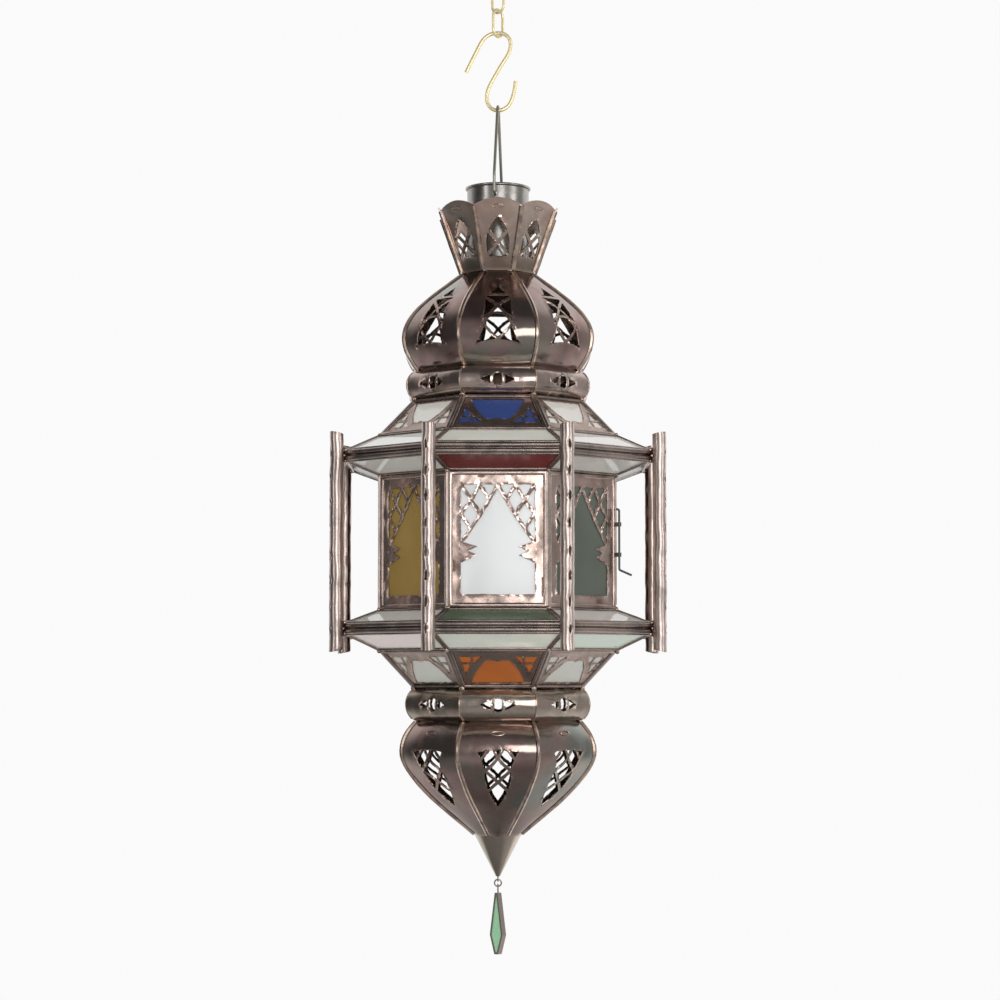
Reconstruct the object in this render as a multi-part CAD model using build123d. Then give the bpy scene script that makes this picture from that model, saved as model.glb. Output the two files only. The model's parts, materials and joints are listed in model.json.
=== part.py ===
from build123d import *
import math
import os

# A hanging eight-sided lantern of pierced sheet metal and coloured glass, in millimetres.
# Heights are measured from the middle of the glass drum, and radii run to the corners of the
# octagon. The finished pieces are lowered so that the origin is the point inside the top chain
# link where a ceiling hook carries the lantern. The front face looks along -Y.

# Plan
SIDES = 8
STEP = 360 / SIDES
COS_HALF = math.cos(math.radians(STEP / 2))
SIN_HALF = math.sin(math.radians(STEP / 2))
TAN_HALF = math.tan(math.radians(STEP / 2))
REACH = 160
TALL = 400
DOOR_FACE = 2

# Glass body: corner radius and height of each edge of its upper half, mirrored below
ROOF_TOP = (66.5, 105.7)
ROOF_FOOT = (93.5, 78.4)
RIM_TOP = (119.8, 66.7)
RIM_FOOT = (119.8, 58.5)
DRUM_TOP = (93.0, 48.8)
DRUM_FACE = DRUM_TOP[0] * COS_HALF

# Came frames, panes and pierced overlays
LIP = 1.2
PANE = 2.0
BACK = 0.6
CAME = 3.6
REBATE = 1.2
OVERLAY = 0.6
BEAD = 1.3

# Sheet metal
SHEET = 0.8
LEDGE = 7.0

# Upper metalwork
UPPER_RING_HEIGHT = 20.6
RING_EDGE = 66.0
RING_BELLY = 72.6
UPPER_DOME = [(26.5, 201.5), (45.9, 187.4), (59.5, 176.4), (69.6, 165.4), (75.0, 151.0), (72.0, 139.2),
              (62.6, 125.5)]
DOME_TOP = 200.4
NECK_RADIUS = 28.2
NECK_PLATE = 1.0
CROWN_FOOT_RADIUS = 28.7
CROWN_TOP_RADIUS = 46.0
CROWN_TOP = 247.0
CROWN_SCALLOP = 5.5
COLLAR_RADIUS = 23.0
COLLAR_FOOT = 197.0
COLLAR_TOP = 266.4
COLLAR_ROLL = 1.1
BAIL_HOLE_HEIGHT = 259.0

# Lower metalwork
LOWER_RING_HEIGHT = 23.4
LOWER_DOME = [(62.5, -127.5), (71.6, -137.6), (76.2, -151.2), (66.3, -170.6), (53.1, -184.2), (36.7, -197.8),
              (15.0, -215.0)]
LOWER_DOME_FOOT = -212.6
CONE_RADIUS = 17.4
CONE_TIP = -243.4
CONE_TIP_RADIUS = 1.5

# Hanging wires
CHAIN_WIRE = 1.1
LINK_LENGTH = 20.8
LINK_WIDTH = 11.0
LINK_TURN = 50
HOOK_WIRE = 1.55
HOOK_LINE = [(-24.0, 28.8), (-19.4, 38.2), (-14.9, 47.2), (-10.4, 54.6), (-5.4, 58.0), (0.0, 58.9),
             (5.0, 58.0), (8.6, 54.4), (9.4, 48.8), (7.6, 42.6), (3.9, 36.6), (-0.4, 29.4), (-4.2, 22.6),
             (-7.2, 16.3), (-8.3, 11.1), (-7.6, 5.4), (-4.5, 1.3), (0.0, 0.0), (4.6, 1.2), (8.6, 4.7),
             (10.9, 10.1), (12.5, 16.3), (13.2, 22.4)]
HOOK_HEIGHT = max(z for x, z in HOOK_LINE)
BAIL_WIRE = 1.15
BAIL_PEAK = 334.3
BAIL_SPREAD = 26.2
BAIL_SHOULDER = 274.0
BAIL_END = 17.0
BAIL_TURN = -6
BAIL_APEX_BEND = 3.4
BAIL_CORNER_BEND = 2.6
BAIL_SHOULDER_BEND = 10.4
HOLE_PLAY = 0.4
HANG_GAP = 0.25

# Corner pillars
PILLAR_RADIUS = 5.2
PILLAR_CENTRE = 125.4
PILLAR_BACK = 119.45
PILLAR_HALF = 79.5
PILLAR_SLOTS = 8
PILLAR_SLOT_PITCH = 18.2
PILLAR_SLOT = (1.7, 7.6)

# Door, its hinges and its turning catch
DOOR_HALF = 46.0
DOOR_PLAY = 0.3
HINGE_OFFSET = 2.2
KNUCKLE_RADIUS = 1.7
KNUCKLE_HEIGHT = 6.0
HINGE_HEIGHT = 28.0
LEAF = (8.4, 0.8)
PIN_RADIUS = 0.85
PIN_PLAY = 0.06
PIN_LENGTH = 14.0
CATCH_SETBACK = 0.6
CATCH_STANDOFF = 3.6
CATCH_WIRE = 0.8
CATCH_TOP = 24.0
CATCH_FOOT = -20.0
CATCH_TAIL = 9.0
CATCH_DROOP = 4.0
CATCH_BEND = 1.4
CATCH_HEAD = 2.2
SLEEVE_HEIGHT = 3.0
SLEEVE_LEVELS = (13.0, -9.0)

# Candle holder
STRAP = (10.0, 1.2)
STRAP_HEIGHT = -47.0
TRAY_RADIUS = 32.0
TRAY_WALL = 1.0
TRAY_RISE = 5.0
CUP_BORE = 11.25
CUP_WALL = 1.0
CUP_HEIGHT = 18.0

# Pendant drop
EYE_RADIUS = 1.55
EYE_WIRE = 0.5
EYE_STEM = 8.0
RING_RADIUS = 2.5
RING_WIRE = 0.55
DROP_EYE_RADIUS = 1.8
DROP_STEM = 2.4
DROP_HEIGHT = 44.6
DROP_BELLY = 30.6
DROP_HALF_TOP = 1.3
DROP_HALF_BELLY = 5.8
DROP_HALF_FOOT = 1.7
DROP_DEPTH = 4.6
DROP_RIM = 1.3
DROP_PANE = 1.2
DROP_RECESS = 0.4
DROP_TURN = -38

PIECES = {}


def keep(name, *shapes):
    """Store the separate solids of one named piece."""
    PIECES[name] = [solid for shape in shapes for solid in shape.solids()]


def around(shape, faces=range(SIDES)):
    """Copies of a front-face shape on the given faces."""
    return [Rot(0, 0, STEP * face) * shape for face in faces]


def wedge(gap=0.0):
    """The part of space that belongs to the front face, drawn back by a gap on each side."""
    apex = -gap / SIN_HALF
    half = REACH * TAN_HALF
    plan = Polygon((0, apex), (half, apex - REACH), (-half, apex - REACH), align=None)
    return extrude(Pos(0, 0, -TALL) * plan, 2 * TALL, dir=(0, 0, 1))


def slab(low, high):
    """All space between two heights."""
    return Pos(0, 0, (low + high) / 2) * Box(2 * REACH, 2 * REACH, high - low)


def band(edges):
    """A closed profile in the plane of the front face's middle, drawn out sideways and mitred."""
    profile = make_face(edges)
    return extrude(profile, REACH, dir=(1, 0, 0), both=True) & wedge()


def at(radius, height):
    """A point of a front-face profile."""
    return Vector(0, -radius, height)


def octagon(corner_radius):
    """A regular octagon whose front side faces -Y."""
    return RegularPolygon(corner_radius, SIDES, rotation=STEP / 2)


def strip(start, end, width):
    """A straight strip of metal left between two holes."""
    start = Vector(*start)
    end = Vector(*end)
    side = (end - start).normalized().rotate(Axis.Z, 90) * (width / 2)
    return Polygon(start + side, start - side, end - side, end + side, align=None)


def bowed_strip(start, middle, end, width):
    """A strip of metal that follows an arc through three points."""
    centre = ThreePointArc(start, middle, end).arc_center
    ends = []
    for shift in (width / 2, -width / 2):
        ends.append([centre + (Vector(*p) - centre) * (1 + shift / (Vector(*p) - centre).length)
                     for p in (start, middle, end)])
    outer = ThreePointArc(*ends[0])
    inner = ThreePointArc(*ends[1])
    return make_face([outer, Line(outer @ 1, inner @ 1), inner, Line(inner @ 0, outer @ 0)])


def mirrored(shape):
    """A left-hand shape together with its right-hand twin."""
    return shape + mirror(shape, about=Plane.YZ)


def closed_both_sides(right_edges):
    """A face between edges given on the right side and their mirror images."""
    left_edges = [mirror(edge, about=Plane.YZ) for edge in right_edges]
    return make_face([*right_edges, *left_edges])


class Tier:
    """One ring of eight flat panels: its front panel, with mitred edges all round."""

    def __init__(self, top, foot, inner_top, inner_foot):
        self.top = top
        self.foot = foot
        self.inner_top = inner_top
        self.inner_foot = inner_foot
        run = Vector(foot[0] - top[0], foot[1] - top[1])
        self.length = run.length
        self.normal = Vector(0, run.Y / run.length, run.X / run.length)
        middle = at((top[0] + foot[0]) / 2, (top[1] + foot[1]) / 2)
        self.plane = Plane(middle, x_dir=(1, 0, 0), z_dir=self.normal)

    def half_width(self, height):
        """Half the panel's width at a height above its middle, along the slope."""
        share = 0.5 + height / self.length
        return (self.foot[0] + (self.top[0] - self.foot[0]) * share) * TAN_HALF

    def block(self):
        """The whole panel as a mitred slab."""
        corners = [at(*p) for p in (self.top, self.foot, self.inner_foot, self.inner_top)]
        return band(Polyline(*corners, close=True).edges())

    def outline(self, border, trim=0.0):
        """The panel's outline drawn in by a border, and further at top and foot by a trim."""
        lean = (self.top[0] - self.foot[0]) / self.length * TAN_HALF
        side = border * math.hypot(1, lean)
        high = self.length / 2 - border - trim
        wide_top = self.half_width(high) - side
        wide_foot = self.half_width(-high) - side
        corners = [(wide_top, high), (-wide_top, high), (-wide_foot, -high), (wide_foot, -high)]
        return Polygon(*corners, align=None)

    def plate(self, outline, outer_depth, thickness):
        """A flat plate of the given outline, its outer face at a depth under the panel's face."""
        return extrude(self.plane.offset(-outer_depth) * outline, thickness, dir=-self.normal)

    def pane(self, border=CAME, trim=0.0):
        return self.plate(self.outline(border - REBATE, trim), LIP, PANE)

    def frame(self):
        window = self.plate(self.outline(CAME), 0, LIP + PANE + BACK)
        return self.block() - window - self.pane()

    def overlay(self, holes):
        return self.plate(self.outline(CAME) - holes, LIP - OVERLAY, OVERLAY)


def inset_profile(points, depth):
    """The inner line of a wall of even depth behind a line of (apothem, height) points."""
    runs = list(zip(points, points[1:]))
    lines = []
    for (r1, z1), (r2, z2) in runs:
        length = math.hypot(r2 - r1, z2 - z1)
        dr = (r2 - r1) / length
        dz = (z2 - z1) / length
        lines.append((r1 + dz * depth, z1 - dr * depth, dr, dz))
    inner = [level_crossing(lines[0], points[0][1])]
    for first, second in zip(lines, lines[1:]):
        inner.append(crossing(first, second))
    inner.append(level_crossing(lines[-1], points[-1][1]))
    return inner


def crossing(first, second):
    """Where two lines (point and direction) meet."""
    r1, z1, dr1, dz1 = first
    r2, z2, dr2, dz2 = second
    share = ((r2 - r1) * dz2 - (z2 - z1) * dr2) / (dr1 * dz2 - dz1 * dr2)
    return (r1 + share * dr1, z1 + share * dz1)


def level_crossing(line, height):
    """Where a line reaches a height."""
    r, z, dr, dz = line
    return (r + (height - z) / dz * dr, height)


def glass_tiers():
    """The nine tiers of the glass body, from the upper roof down to the lower roof."""
    edges = (ROOF_TOP, ROOF_FOOT, RIM_TOP, RIM_FOOT, DRUM_TOP)
    upper = [(radius * COS_HALF, height) for radius, height in edges]
    lower = [(radius, -height) for radius, height in reversed(upper)]
    outer = upper + lower
    inner = inset_profile(outer, LIP + PANE + BACK)
    names = ["upper_roof", "upper_eave", "upper_rim", "upper_soffit", "drum",
             "lower_soffit", "lower_rim", "lower_eave", "lower_roof"]
    return {name: Tier(outer[i], outer[i + 1], inner[i], inner[i + 1]) for i, name in enumerate(names)}


def roof_holes(tier, wide_end):
    """An arch and two pierced spandrels; wide_end is -1 where the wide edge is the lower one."""
    narrow = tier.length / 2 - CAME
    side = [Line((0, 1.4), (19.2, 1.4)), ThreePointArc((19.2, 1.4), (15.6, 11.4), (8.8, 22.4)),
            ThreePointArc((8.8, 22.4), (4.6, 22.8), (0, 21.8))]
    arch = closed_both_sides(side)
    spandrel = make_face([Line((11.2, 26.2), (28.2, 26.2)), Line((28.2, 26.2), (22.6, 9.8)),
                          ThreePointArc((22.6, 9.8), (18.4, 17.2), (11.2, 26.2))])
    spandrel -= bowed_strip((29.0, 18.4), (20.5, 19.6), (13.0, 17.0), 1.3)
    spandrel -= bowed_strip((18.8, 28.0), (18.4, 21.0), (20.4, 13.0), 1.3)
    holes = arch + mirrored(spandrel)
    turn = 0 if wide_end > 0 else 180
    return Rot(0, 0, turn) * Pos(0, -narrow) * holes


DRUM_OPENING = (26.3, 38.6, -39.3)
LATTICE_STEP = 13.15
LATTICE_STRIP = 1.9


def drum_holes(shift=0.0):
    """A tall opening with a pointed lattice head and a double thorn on each side."""
    half, high, low = DRUM_OPENING
    high -= shift
    low += shift
    slope = (high - low) * 0.535 / half
    opening = Pos(0, (high + low) / 2) * Rectangle(2 * half, high - low)
    metal = strip((0, high), (-half, high - slope * half), LATTICE_STRIP)
    metal += strip((-LATTICE_STEP, high), (-half, high - slope * LATTICE_STEP), LATTICE_STRIP)
    metal += strip((-half, high), (-LATTICE_STEP, high - slope * LATTICE_STEP), LATTICE_STRIP)
    metal += strip((-LATTICE_STEP, high),
                   (-LATTICE_STEP / 2, high - slope * LATTICE_STEP / 2), LATTICE_STRIP)
    metal += strip((-half, high - slope * LATTICE_STEP),
                   (-1.5 * LATTICE_STEP, high - slope * LATTICE_STEP * 1.5), LATTICE_STRIP)
    metal += Polygon((-half - 1, -1.6), (-14.4, -5.4), (-21.4, -8.6), (-14.8, -11.6), (-half - 1, -17.0),
                     align=None)
    return opening - mirrored(metal)


def petal_holes():
    """A pointed opening crossed by two bowed strips, above the foot of a crown petal."""
    outline = closed_both_sides([Line((0, 10.4), (7.4, 10.4)),
                                 ThreePointArc((7.4, 10.4), (8.7, 20.0), (7.2, 29.5)),
                                 ThreePointArc((7.2, 29.5), (4.0, 35.6), (0, 40.0))])
    return outline - mirrored(bowed_strip((-10.0, 32.0), (-1.6, 23.0), (9.4, 9.0), 2.0))


def upper_gore_holes():
    """A pierced triangle, point up, seen straight from the front."""
    outline = closed_both_sides([ThreePointArc((0, 187.0), (3.4, 181.8), (9.2, 177.0)),
                                 ThreePointArc((9.2, 177.0), (9.6, 168.0), (11.6, 160.0)),
                                 ThreePointArc((11.6, 160.0), (12.8, 150.5), (16.0, 142.0)),
                                 ThreePointArc((16.0, 142.0), (8.0, 144.0), (0, 144.8))])
    metal = strip((-12, 178.4), (12, 178.4), 1.5)
    metal += mirrored(bowed_strip((-12.0, 177.4), (3.6, 165.4), (14.5, 144.5), 1.8))
    metal += mirrored(bowed_strip((-14.0, 161.5), (-6.0, 150.4), (6.0, 141.0), 1.8))
    metal += bowed_strip((-13.0, 158.0), (0, 163.4), (13.0, 158.0), 1.8)
    return outline - metal


def lower_gore_holes():
    """A pierced triangle, point down, seen straight from the front."""
    outline = closed_both_sides([ThreePointArc((0, -149.6), (7.4, -149.9), (14.8, -151.0)),
                                 ThreePointArc((14.8, -151.0), (11.4, -157.0), (9.8, -165.0)),
                                 ThreePointArc((9.8, -165.0), (7.6, -176.5), (0, -189.7))])
    metal = mirrored(bowed_strip((-14.0, -166.0), (-4.0, -159.4), (4.0, -147.5), 1.9))
    metal += mirrored(bowed_strip((-15.0, -158.6), (-2.6, -169.4), (10.0, -181.0), 1.9))
    metal += mirrored(bowed_strip((-15.0, -157.6), (-9.6, -152.8), (-6.0, -147.5), 1.9))
    return outline - metal


def ring_holes(middle):
    """An eye: a lens-shaped opening with two bowed bars."""
    eye = closed_both_sides([ThreePointArc((13.0, 0), (6.6, 2.9), (0, 4.8)),
                             ThreePointArc((13.0, 0), (6.6, -2.9), (0, -4.8))])
    return Pos(0, middle) * (eye - mirrored(bowed_strip((-1.6, -7.5), (-4.5, 0), (-1.6, 7.5), 1.7)))


def pierce(sheet, holes):
    """Cut holes drawn in the front view straight through a front-face sheet."""
    return sheet - extrude(Plane.XZ * holes, REACH, dir=(0, -1, 0))


def dome_gore(points, low, high):
    """One curved gore of a dome, its line given by corner radius and height."""
    outer = Spline(*[at(radius * COS_HALF, height) for radius, height in points])
    stations = 2 * len(points)
    inner_points = []
    for station in range(stations + 1):
        along = station / stations
        run = outer % along
        inner_points.append(outer @ along - Vector(0, run.Z, -run.Y) * SHEET)
    inner = Spline(*inner_points)
    gore = band([outer, Line(outer @ 1, inner @ 1), inner, Line(inner @ 0, outer @ 0)])
    return gore & slab(low, high)


def ring_segment(low, high):
    """One side of a bulging ring band with turned-in ledges at its two edges."""
    middle = (low + high) / 2
    edge = RING_EDGE * COS_HALF
    belly = RING_BELLY * COS_HALF
    bulge = ThreePointArc(at(edge, high), at(belly, middle), at(edge, low))
    back = edge - LEDGE
    back_line = Polyline(at(edge, low), at(back, low), at(back, high), at(edge, high))
    outside = band([bulge, *back_line.edges()])
    hollow_high = high - SHEET
    hollow_low = low + SHEET
    hollow_edge = edge - SHEET
    hollow_bulge = ThreePointArc(at(hollow_edge, hollow_high), at(belly - SHEET, middle),
                                 at(hollow_edge, hollow_low))
    deep = edge - 2 * LEDGE
    hollow_line = Polyline(at(hollow_edge, hollow_low), at(deep, hollow_low),
                           at(deep, hollow_high), at(hollow_edge, hollow_high))
    return outside - band([hollow_bulge, *hollow_line.edges()])


def crown_petal():
    """One flared petal with a scalloped top."""
    foot = (CROWN_FOOT_RADIUS * COS_HALF, DOME_TOP + NECK_PLATE)
    top = (CROWN_TOP_RADIUS * COS_HALF, CROWN_TOP)
    petal = Tier(top, foot, top, foot)
    high = petal.length / 2
    wide = petal.half_width(high) + 1
    narrow = petal.half_width(-high) + 1
    sides = Polyline((wide, high), (narrow, -high), (-narrow, -high), (-wide, high))
    scallop = ThreePointArc((-wide, high), (0, high + CROWN_SCALLOP), (wide, high))
    outline = make_face([*sides.edges(), scallop])
    sheet = petal.plate(outline - Pos(0, -high) * petal_holes(), 0, SHEET)
    return sheet & wedge()


def rim_bar(tier):
    """One side of a rim: a bar with two half-round beads along its face."""
    r = tier.top[0]
    high = tier.top[1]
    low = tier.foot[1]
    middle = (high + low) / 2
    edges = [ThreePointArc(at(r, high), at(r + BEAD, (high + middle) / 2), at(r, middle)),
             ThreePointArc(at(r, middle), at(r + BEAD, (middle + low) / 2), at(r, low)),
             *Polyline(at(r, low), at(*tier.inner_foot), at(*tier.inner_top), at(r, high)).edges()]
    return band(edges)


def pillar():
    """One half-tube pillar with a row of slots along its outer line, standing on -Y."""
    round_outside = Pos(0, -PILLAR_CENTRE) * Circle(PILLAR_RADIUS)
    round_inside = Pos(0, -PILLAR_CENTRE) * Circle(PILLAR_RADIUS - SHEET)
    depth = PILLAR_CENTRE - PILLAR_BACK
    legs = Pos(0, -PILLAR_CENTRE + depth / 2) * Rectangle(2 * PILLAR_RADIUS, depth)
    throat = Pos(0, -PILLAR_CENTRE + depth) * Rectangle(2 * (PILLAR_RADIUS - SHEET), 2 * depth)
    outside = (round_outside + legs) & Pos(0, -PILLAR_BACK - REACH / 2) * Rectangle(REACH, REACH)
    gutter = extrude(Pos(0, 0, -PILLAR_HALF) * (outside - round_inside - throat), 2 * PILLAR_HALF)
    wide, tall = PILLAR_SLOT
    slot = Pos(0, -PILLAR_CENTRE - PILLAR_RADIUS) * Box(wide, 2 * PILLAR_RADIUS, tall)
    for number in range(PILLAR_SLOTS):
        gutter -= Pos(0, 0, (number - (PILLAR_SLOTS - 1) / 2) * PILLAR_SLOT_PITCH) * slot
    return gutter


def rod(path, radius):
    """A round wire along a path."""
    return sweep(Plane(path @ 0, z_dir=path % 0) * Circle(radius), path=path)


def chain_link(top, turn):
    """A long oval link whose wire's upper centre is at a height, turned about the vertical."""
    half = LINK_WIDTH / 2
    straight = LINK_LENGTH - LINK_WIDTH
    bend = revolve(Pos(half, 0) * (Plane.XZ * Circle(CHAIN_WIRE)), Axis.Z, 180)
    upper_bend = Pos(0, 0, top - half) * Rot(90, 0, 0) * bend
    lower_bend = Pos(0, 0, top - half - straight) * Rot(-90, 0, 0) * bend
    leg = Pos(half, 0, top - half - straight / 2) * Cylinder(CHAIN_WIRE, straight)
    link = upper_bend + lower_bend + leg + Pos(-LINK_WIDTH, 0, 0) * leg
    return Rot(0, 0, turn) * link


def s_hook(foot):
    """An S-shaped wire hook whose lower bend has its wire centre at a height."""
    path = Plane.XZ * Spline(*[(x, foot + z) for x, z in HOOK_LINE])
    return rod(path, HOOK_WIRE)


def bail_top():
    """Height of the wire's centre at the rounded peak of the bail."""
    half_angle = math.atan(BAIL_SPREAD / (BAIL_PEAK - BAIL_SHOULDER))
    return BAIL_PEAK - BAIL_APEX_BEND / math.sin(half_angle) + BAIL_APEX_BEND


def bail():
    """A wire loop from one collar wall over the hook to the other wall."""
    half = [(0, -BAIL_END, BAIL_HOLE_HEIGHT), (0, -BAIL_SPREAD, BAIL_HOLE_HEIGHT),
            (0, -BAIL_SPREAD, BAIL_SHOULDER)]
    other = [(x, -y, z) for x, y, z in reversed(half)]
    bends = [BAIL_CORNER_BEND, BAIL_SHOULDER_BEND, BAIL_APEX_BEND, BAIL_SHOULDER_BEND, BAIL_CORNER_BEND]
    path = FilletPolyline(*half, (0, 0, BAIL_PEAK), *other, radius=bends)
    return Rot(0, 0, BAIL_TURN) * rod(path, BAIL_WIRE)


def collar():
    """A short open tube with a rolled rim and two holes for the bail."""
    height = COLLAR_TOP - COLLAR_FOOT
    base = (Align.CENTER, Align.CENTER, Align.MIN)
    tube = Pos(0, 0, COLLAR_FOOT) * (Cylinder(COLLAR_RADIUS, height, align=base)
                                     - Cylinder(COLLAR_RADIUS - SHEET, height, align=base))
    tube += Pos(0, 0, COLLAR_TOP) * Torus(COLLAR_RADIUS + COLLAR_ROLL - SHEET, COLLAR_ROLL)
    bail_holes = Rot(0, 0, BAIL_TURN) * Rot(90, 0, 0) * Cylinder(BAIL_WIRE + HOLE_PLAY, 4 * COLLAR_RADIUS)
    return tube - Pos(0, 0, BAIL_HOLE_HEIGHT) * bail_holes


def tip_cone():
    """A hollow cone with a stem hole at its tip."""
    height = LOWER_DOME_FOOT - CONE_TIP
    middle = Pos(0, 0, (LOWER_DOME_FOOT + CONE_TIP) / 2)
    outside = Cone(CONE_TIP_RADIUS, CONE_RADIUS, height)
    inside = Pos(0, 0, SHEET) * Cone(EYE_WIRE + PIN_PLAY, CONE_RADIUS - SHEET, height - 2 * SHEET)
    mouth = Pos(0, 0, height / 2) * Cylinder(CONE_RADIUS - SHEET, 2 * SHEET)
    stem_hole = Cylinder(EYE_WIRE + PIN_PLAY, height)
    return middle * (outside - inside - mouth - stem_hole)


def wire_eye(radius, wire, centre):
    """A small wire ring standing in the Y-Z plane."""
    return Pos(0, 0, centre) * Rot(0, 90, 0) * Torus(radius, wire)


def stem(wire, low, high):
    return Pos(0, 0, (low + high) / 2) * Cylinder(wire, high - low)


def drop_outline(inset):
    """The kite outline of the pendant drop, hung from its top edge, drawn in by an inset."""
    points = [(DROP_HALF_TOP, 0), (DROP_HALF_BELLY, -DROP_BELLY), (DROP_HALF_FOOT, -DROP_HEIGHT)]
    kite = Polygon(*points, *[(-x, y) for x, y in reversed(points)], align=None)
    if inset:
        kite = offset(kite, -inset, kind=Kind.INTERSECTION)
    return kite


def hinge_leaf(side):
    """A short hinge tube beside a corner of the front drum face, with a flat leaf lying on that face."""
    long, thick = LEAF
    centre = hinge_centre(side)
    leaf = Pos(centre.X - side * long / 2, -DRUM_FACE - thick / 2) * Box(long, thick, KNUCKLE_HEIGHT)
    solid = leaf + Pos(centre) * Cylinder(KNUCKLE_RADIUS, KNUCKLE_HEIGHT)
    return solid - Pos(centre) * Cylinder(PIN_RADIUS + PIN_PLAY, KNUCKLE_HEIGHT)


def hinge_centre(side):
    """The hinge axis, just outside a corner of the front drum face."""
    radius = DRUM_TOP[0] + HINGE_OFFSET
    return Vector(side * radius * SIN_HALF, -radius * COS_HALF)


def catch_centre():
    """The catch's axis, standing off the front drum face near its right-hand corner."""
    return Vector(DRUM_TOP[0] * SIN_HALF - CATCH_SETBACK, -DRUM_FACE - CATCH_STANDOFF)


def catch_sleeve():
    """A small sleeve on a foot that stands on the front drum face and guides the catch."""
    outer = CATCH_WIRE + SHEET
    centre = catch_centre()
    foot = Pos(centre.X, -DRUM_FACE - CATCH_STANDOFF / 2) * Box(2 * outer, CATCH_STANDOFF, SLEEVE_HEIGHT)
    solid = foot + Pos(centre) * Cylinder(outer, SLEEVE_HEIGHT)
    return solid - Pos(centre) * Cylinder(CATCH_WIRE + PIN_PLAY, SLEEVE_HEIGHT)


def catch():
    """A turning wire catch: an upright wire with a bent top and a drooping tail, along -Y."""
    path = FilletPolyline((0, CATCH_HEAD, CATCH_TOP), (0, 0, CATCH_TOP), (0, 0, CATCH_FOOT),
                          (0, -CATCH_TAIL, CATCH_FOOT - CATCH_DROOP), radius=CATCH_BEND)
    return rod(path, CATCH_WIRE)


# Glass body
tiers = glass_tiers()
drum = tiers["drum"]
DIAGONAL = [1, 3, 5, 7]
FIXED_FACES = [face for face in range(SIDES) if face != DOOR_FACE]

for level, wide_end in (("upper", -1), ("lower", 1)):
    for part in ("roof", "eave", "soffit"):
        tier = tiers[f"{level}_{part}"]
        keep(f"{level}_{part}_frames", *around(tier.frame()))
    roof = tiers[f"{level}_roof"]
    keep(f"{level}_roof_overlays", *around(roof.overlay(roof_holes(roof, wide_end))))
    keep(f"{level}_rim_bars", *around(rim_bar(tiers[f"{level}_rim"])))
    keep(f"{level}_eave_panes", *around(tiers[f"{level}_eave"].pane()))
    keep(f"{level}_roof_panes_clear", *around(roof.pane(), DIAGONAL))
    keep(f"{level}_soffit_panes_clear", *around(tiers[f"{level}_soffit"].pane(), DIAGONAL))

keep("upper_roof_panes_blue", *around(tiers["upper_roof"].pane(), [0, 4]))
keep("upper_roof_panes_amber", *around(tiers["upper_roof"].pane(), [2, 6]))
keep("upper_soffit_panes_red", *around(tiers["upper_soffit"].pane(), [0, 4]))
keep("upper_soffit_panes_green", *around(tiers["upper_soffit"].pane(), [2, 6]))
keep("lower_soffit_panes_green", *around(tiers["lower_soffit"].pane(), [0, 4]))
keep("lower_soffit_panes_red", *around(tiers["lower_soffit"].pane(), [2, 6]))
keep("lower_roof_panes_orange", *around(tiers["lower_roof"].pane(), [0, 4]))
keep("lower_roof_panes_blue", *around(tiers["lower_roof"].pane(), [2, 6]))

keep("drum_frames", *around(drum.frame(), FIXED_FACES))
keep("drum_overlays", *around(drum.overlay(drum_holes()), FIXED_FACES))
keep("drum_panes_frosted", *around(drum.pane(), [0, 4, 6]))
keep("drum_panes_amber", *around(drum.pane(), [3, 7]))
keep("drum_panes_green", *around(drum.pane(), [1, 5]))

# Door
DOOR_TRIM = drum.length / 2 - DOOR_HALF
DOOR_BORDER = CAME + DOOR_PLAY
door_window = drum.outline(DOOR_BORDER, DOOR_TRIM - DOOR_PLAY)
door_pane = drum.pane(DOOR_BORDER, DOOR_TRIM - DOOR_PLAY)
door_block = drum.block() & wedge(DOOR_PLAY) & slab(-DOOR_HALF, DOOR_HALF)
door_frame = door_block - drum.plate(door_window, 0, LIP + PANE + BACK) - door_pane
door_overlay = drum.plate(door_window - drum_holes(DOOR_TRIM), LIP - OVERLAY, OVERLAY)
keep("door_frame", *around(door_frame, [DOOR_FACE]))
keep("door_pane", *around(door_pane, [DOOR_FACE]))
keep("door_overlay", *around(door_overlay, [DOOR_FACE]))
surround = drum.block() - slab(-DOOR_HALF - DOOR_PLAY, DOOR_HALF + DOOR_PLAY)
keep("door_lintel_and_sill", *around(surround, [DOOR_FACE]))

half_knuckle = (KNUCKLE_HEIGHT + DOOR_PLAY) / 2
pin = Pos(hinge_centre(1)) * Cylinder(PIN_RADIUS, PIN_LENGTH)
door_leaves = []
frame_leaves = []
pins = []
for level in (HINGE_HEIGHT, -HINGE_HEIGHT):
    door_leaves += around(Pos(0, 0, level + half_knuckle) * hinge_leaf(1), [DOOR_FACE])
    frame_leaves += around(Pos(0, 0, level - half_knuckle) * hinge_leaf(-1), [DOOR_FACE + 1])
    pins += around(Pos(0, 0, level) * pin, [DOOR_FACE])
keep("door_hinge_leaves", *door_leaves)
keep("frame_hinge_leaves", *frame_leaves)
keep("door_hinge_pins", *pins)

sleeves = []
for level in SLEEVE_LEVELS:
    sleeves += around(Pos(0, 0, level) * catch_sleeve(), [DOOR_FACE - 1])
keep("catch_sleeves", *sleeves)
keep("door_catch", *around(Pos(catch_centre()) * Rot(0, 0, STEP) * catch(), [DOOR_FACE - 1]))

# Pillars
keep("corner_pillars", *[Rot(0, 0, STEP / 2) * piece for piece in around(pillar())])

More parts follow.
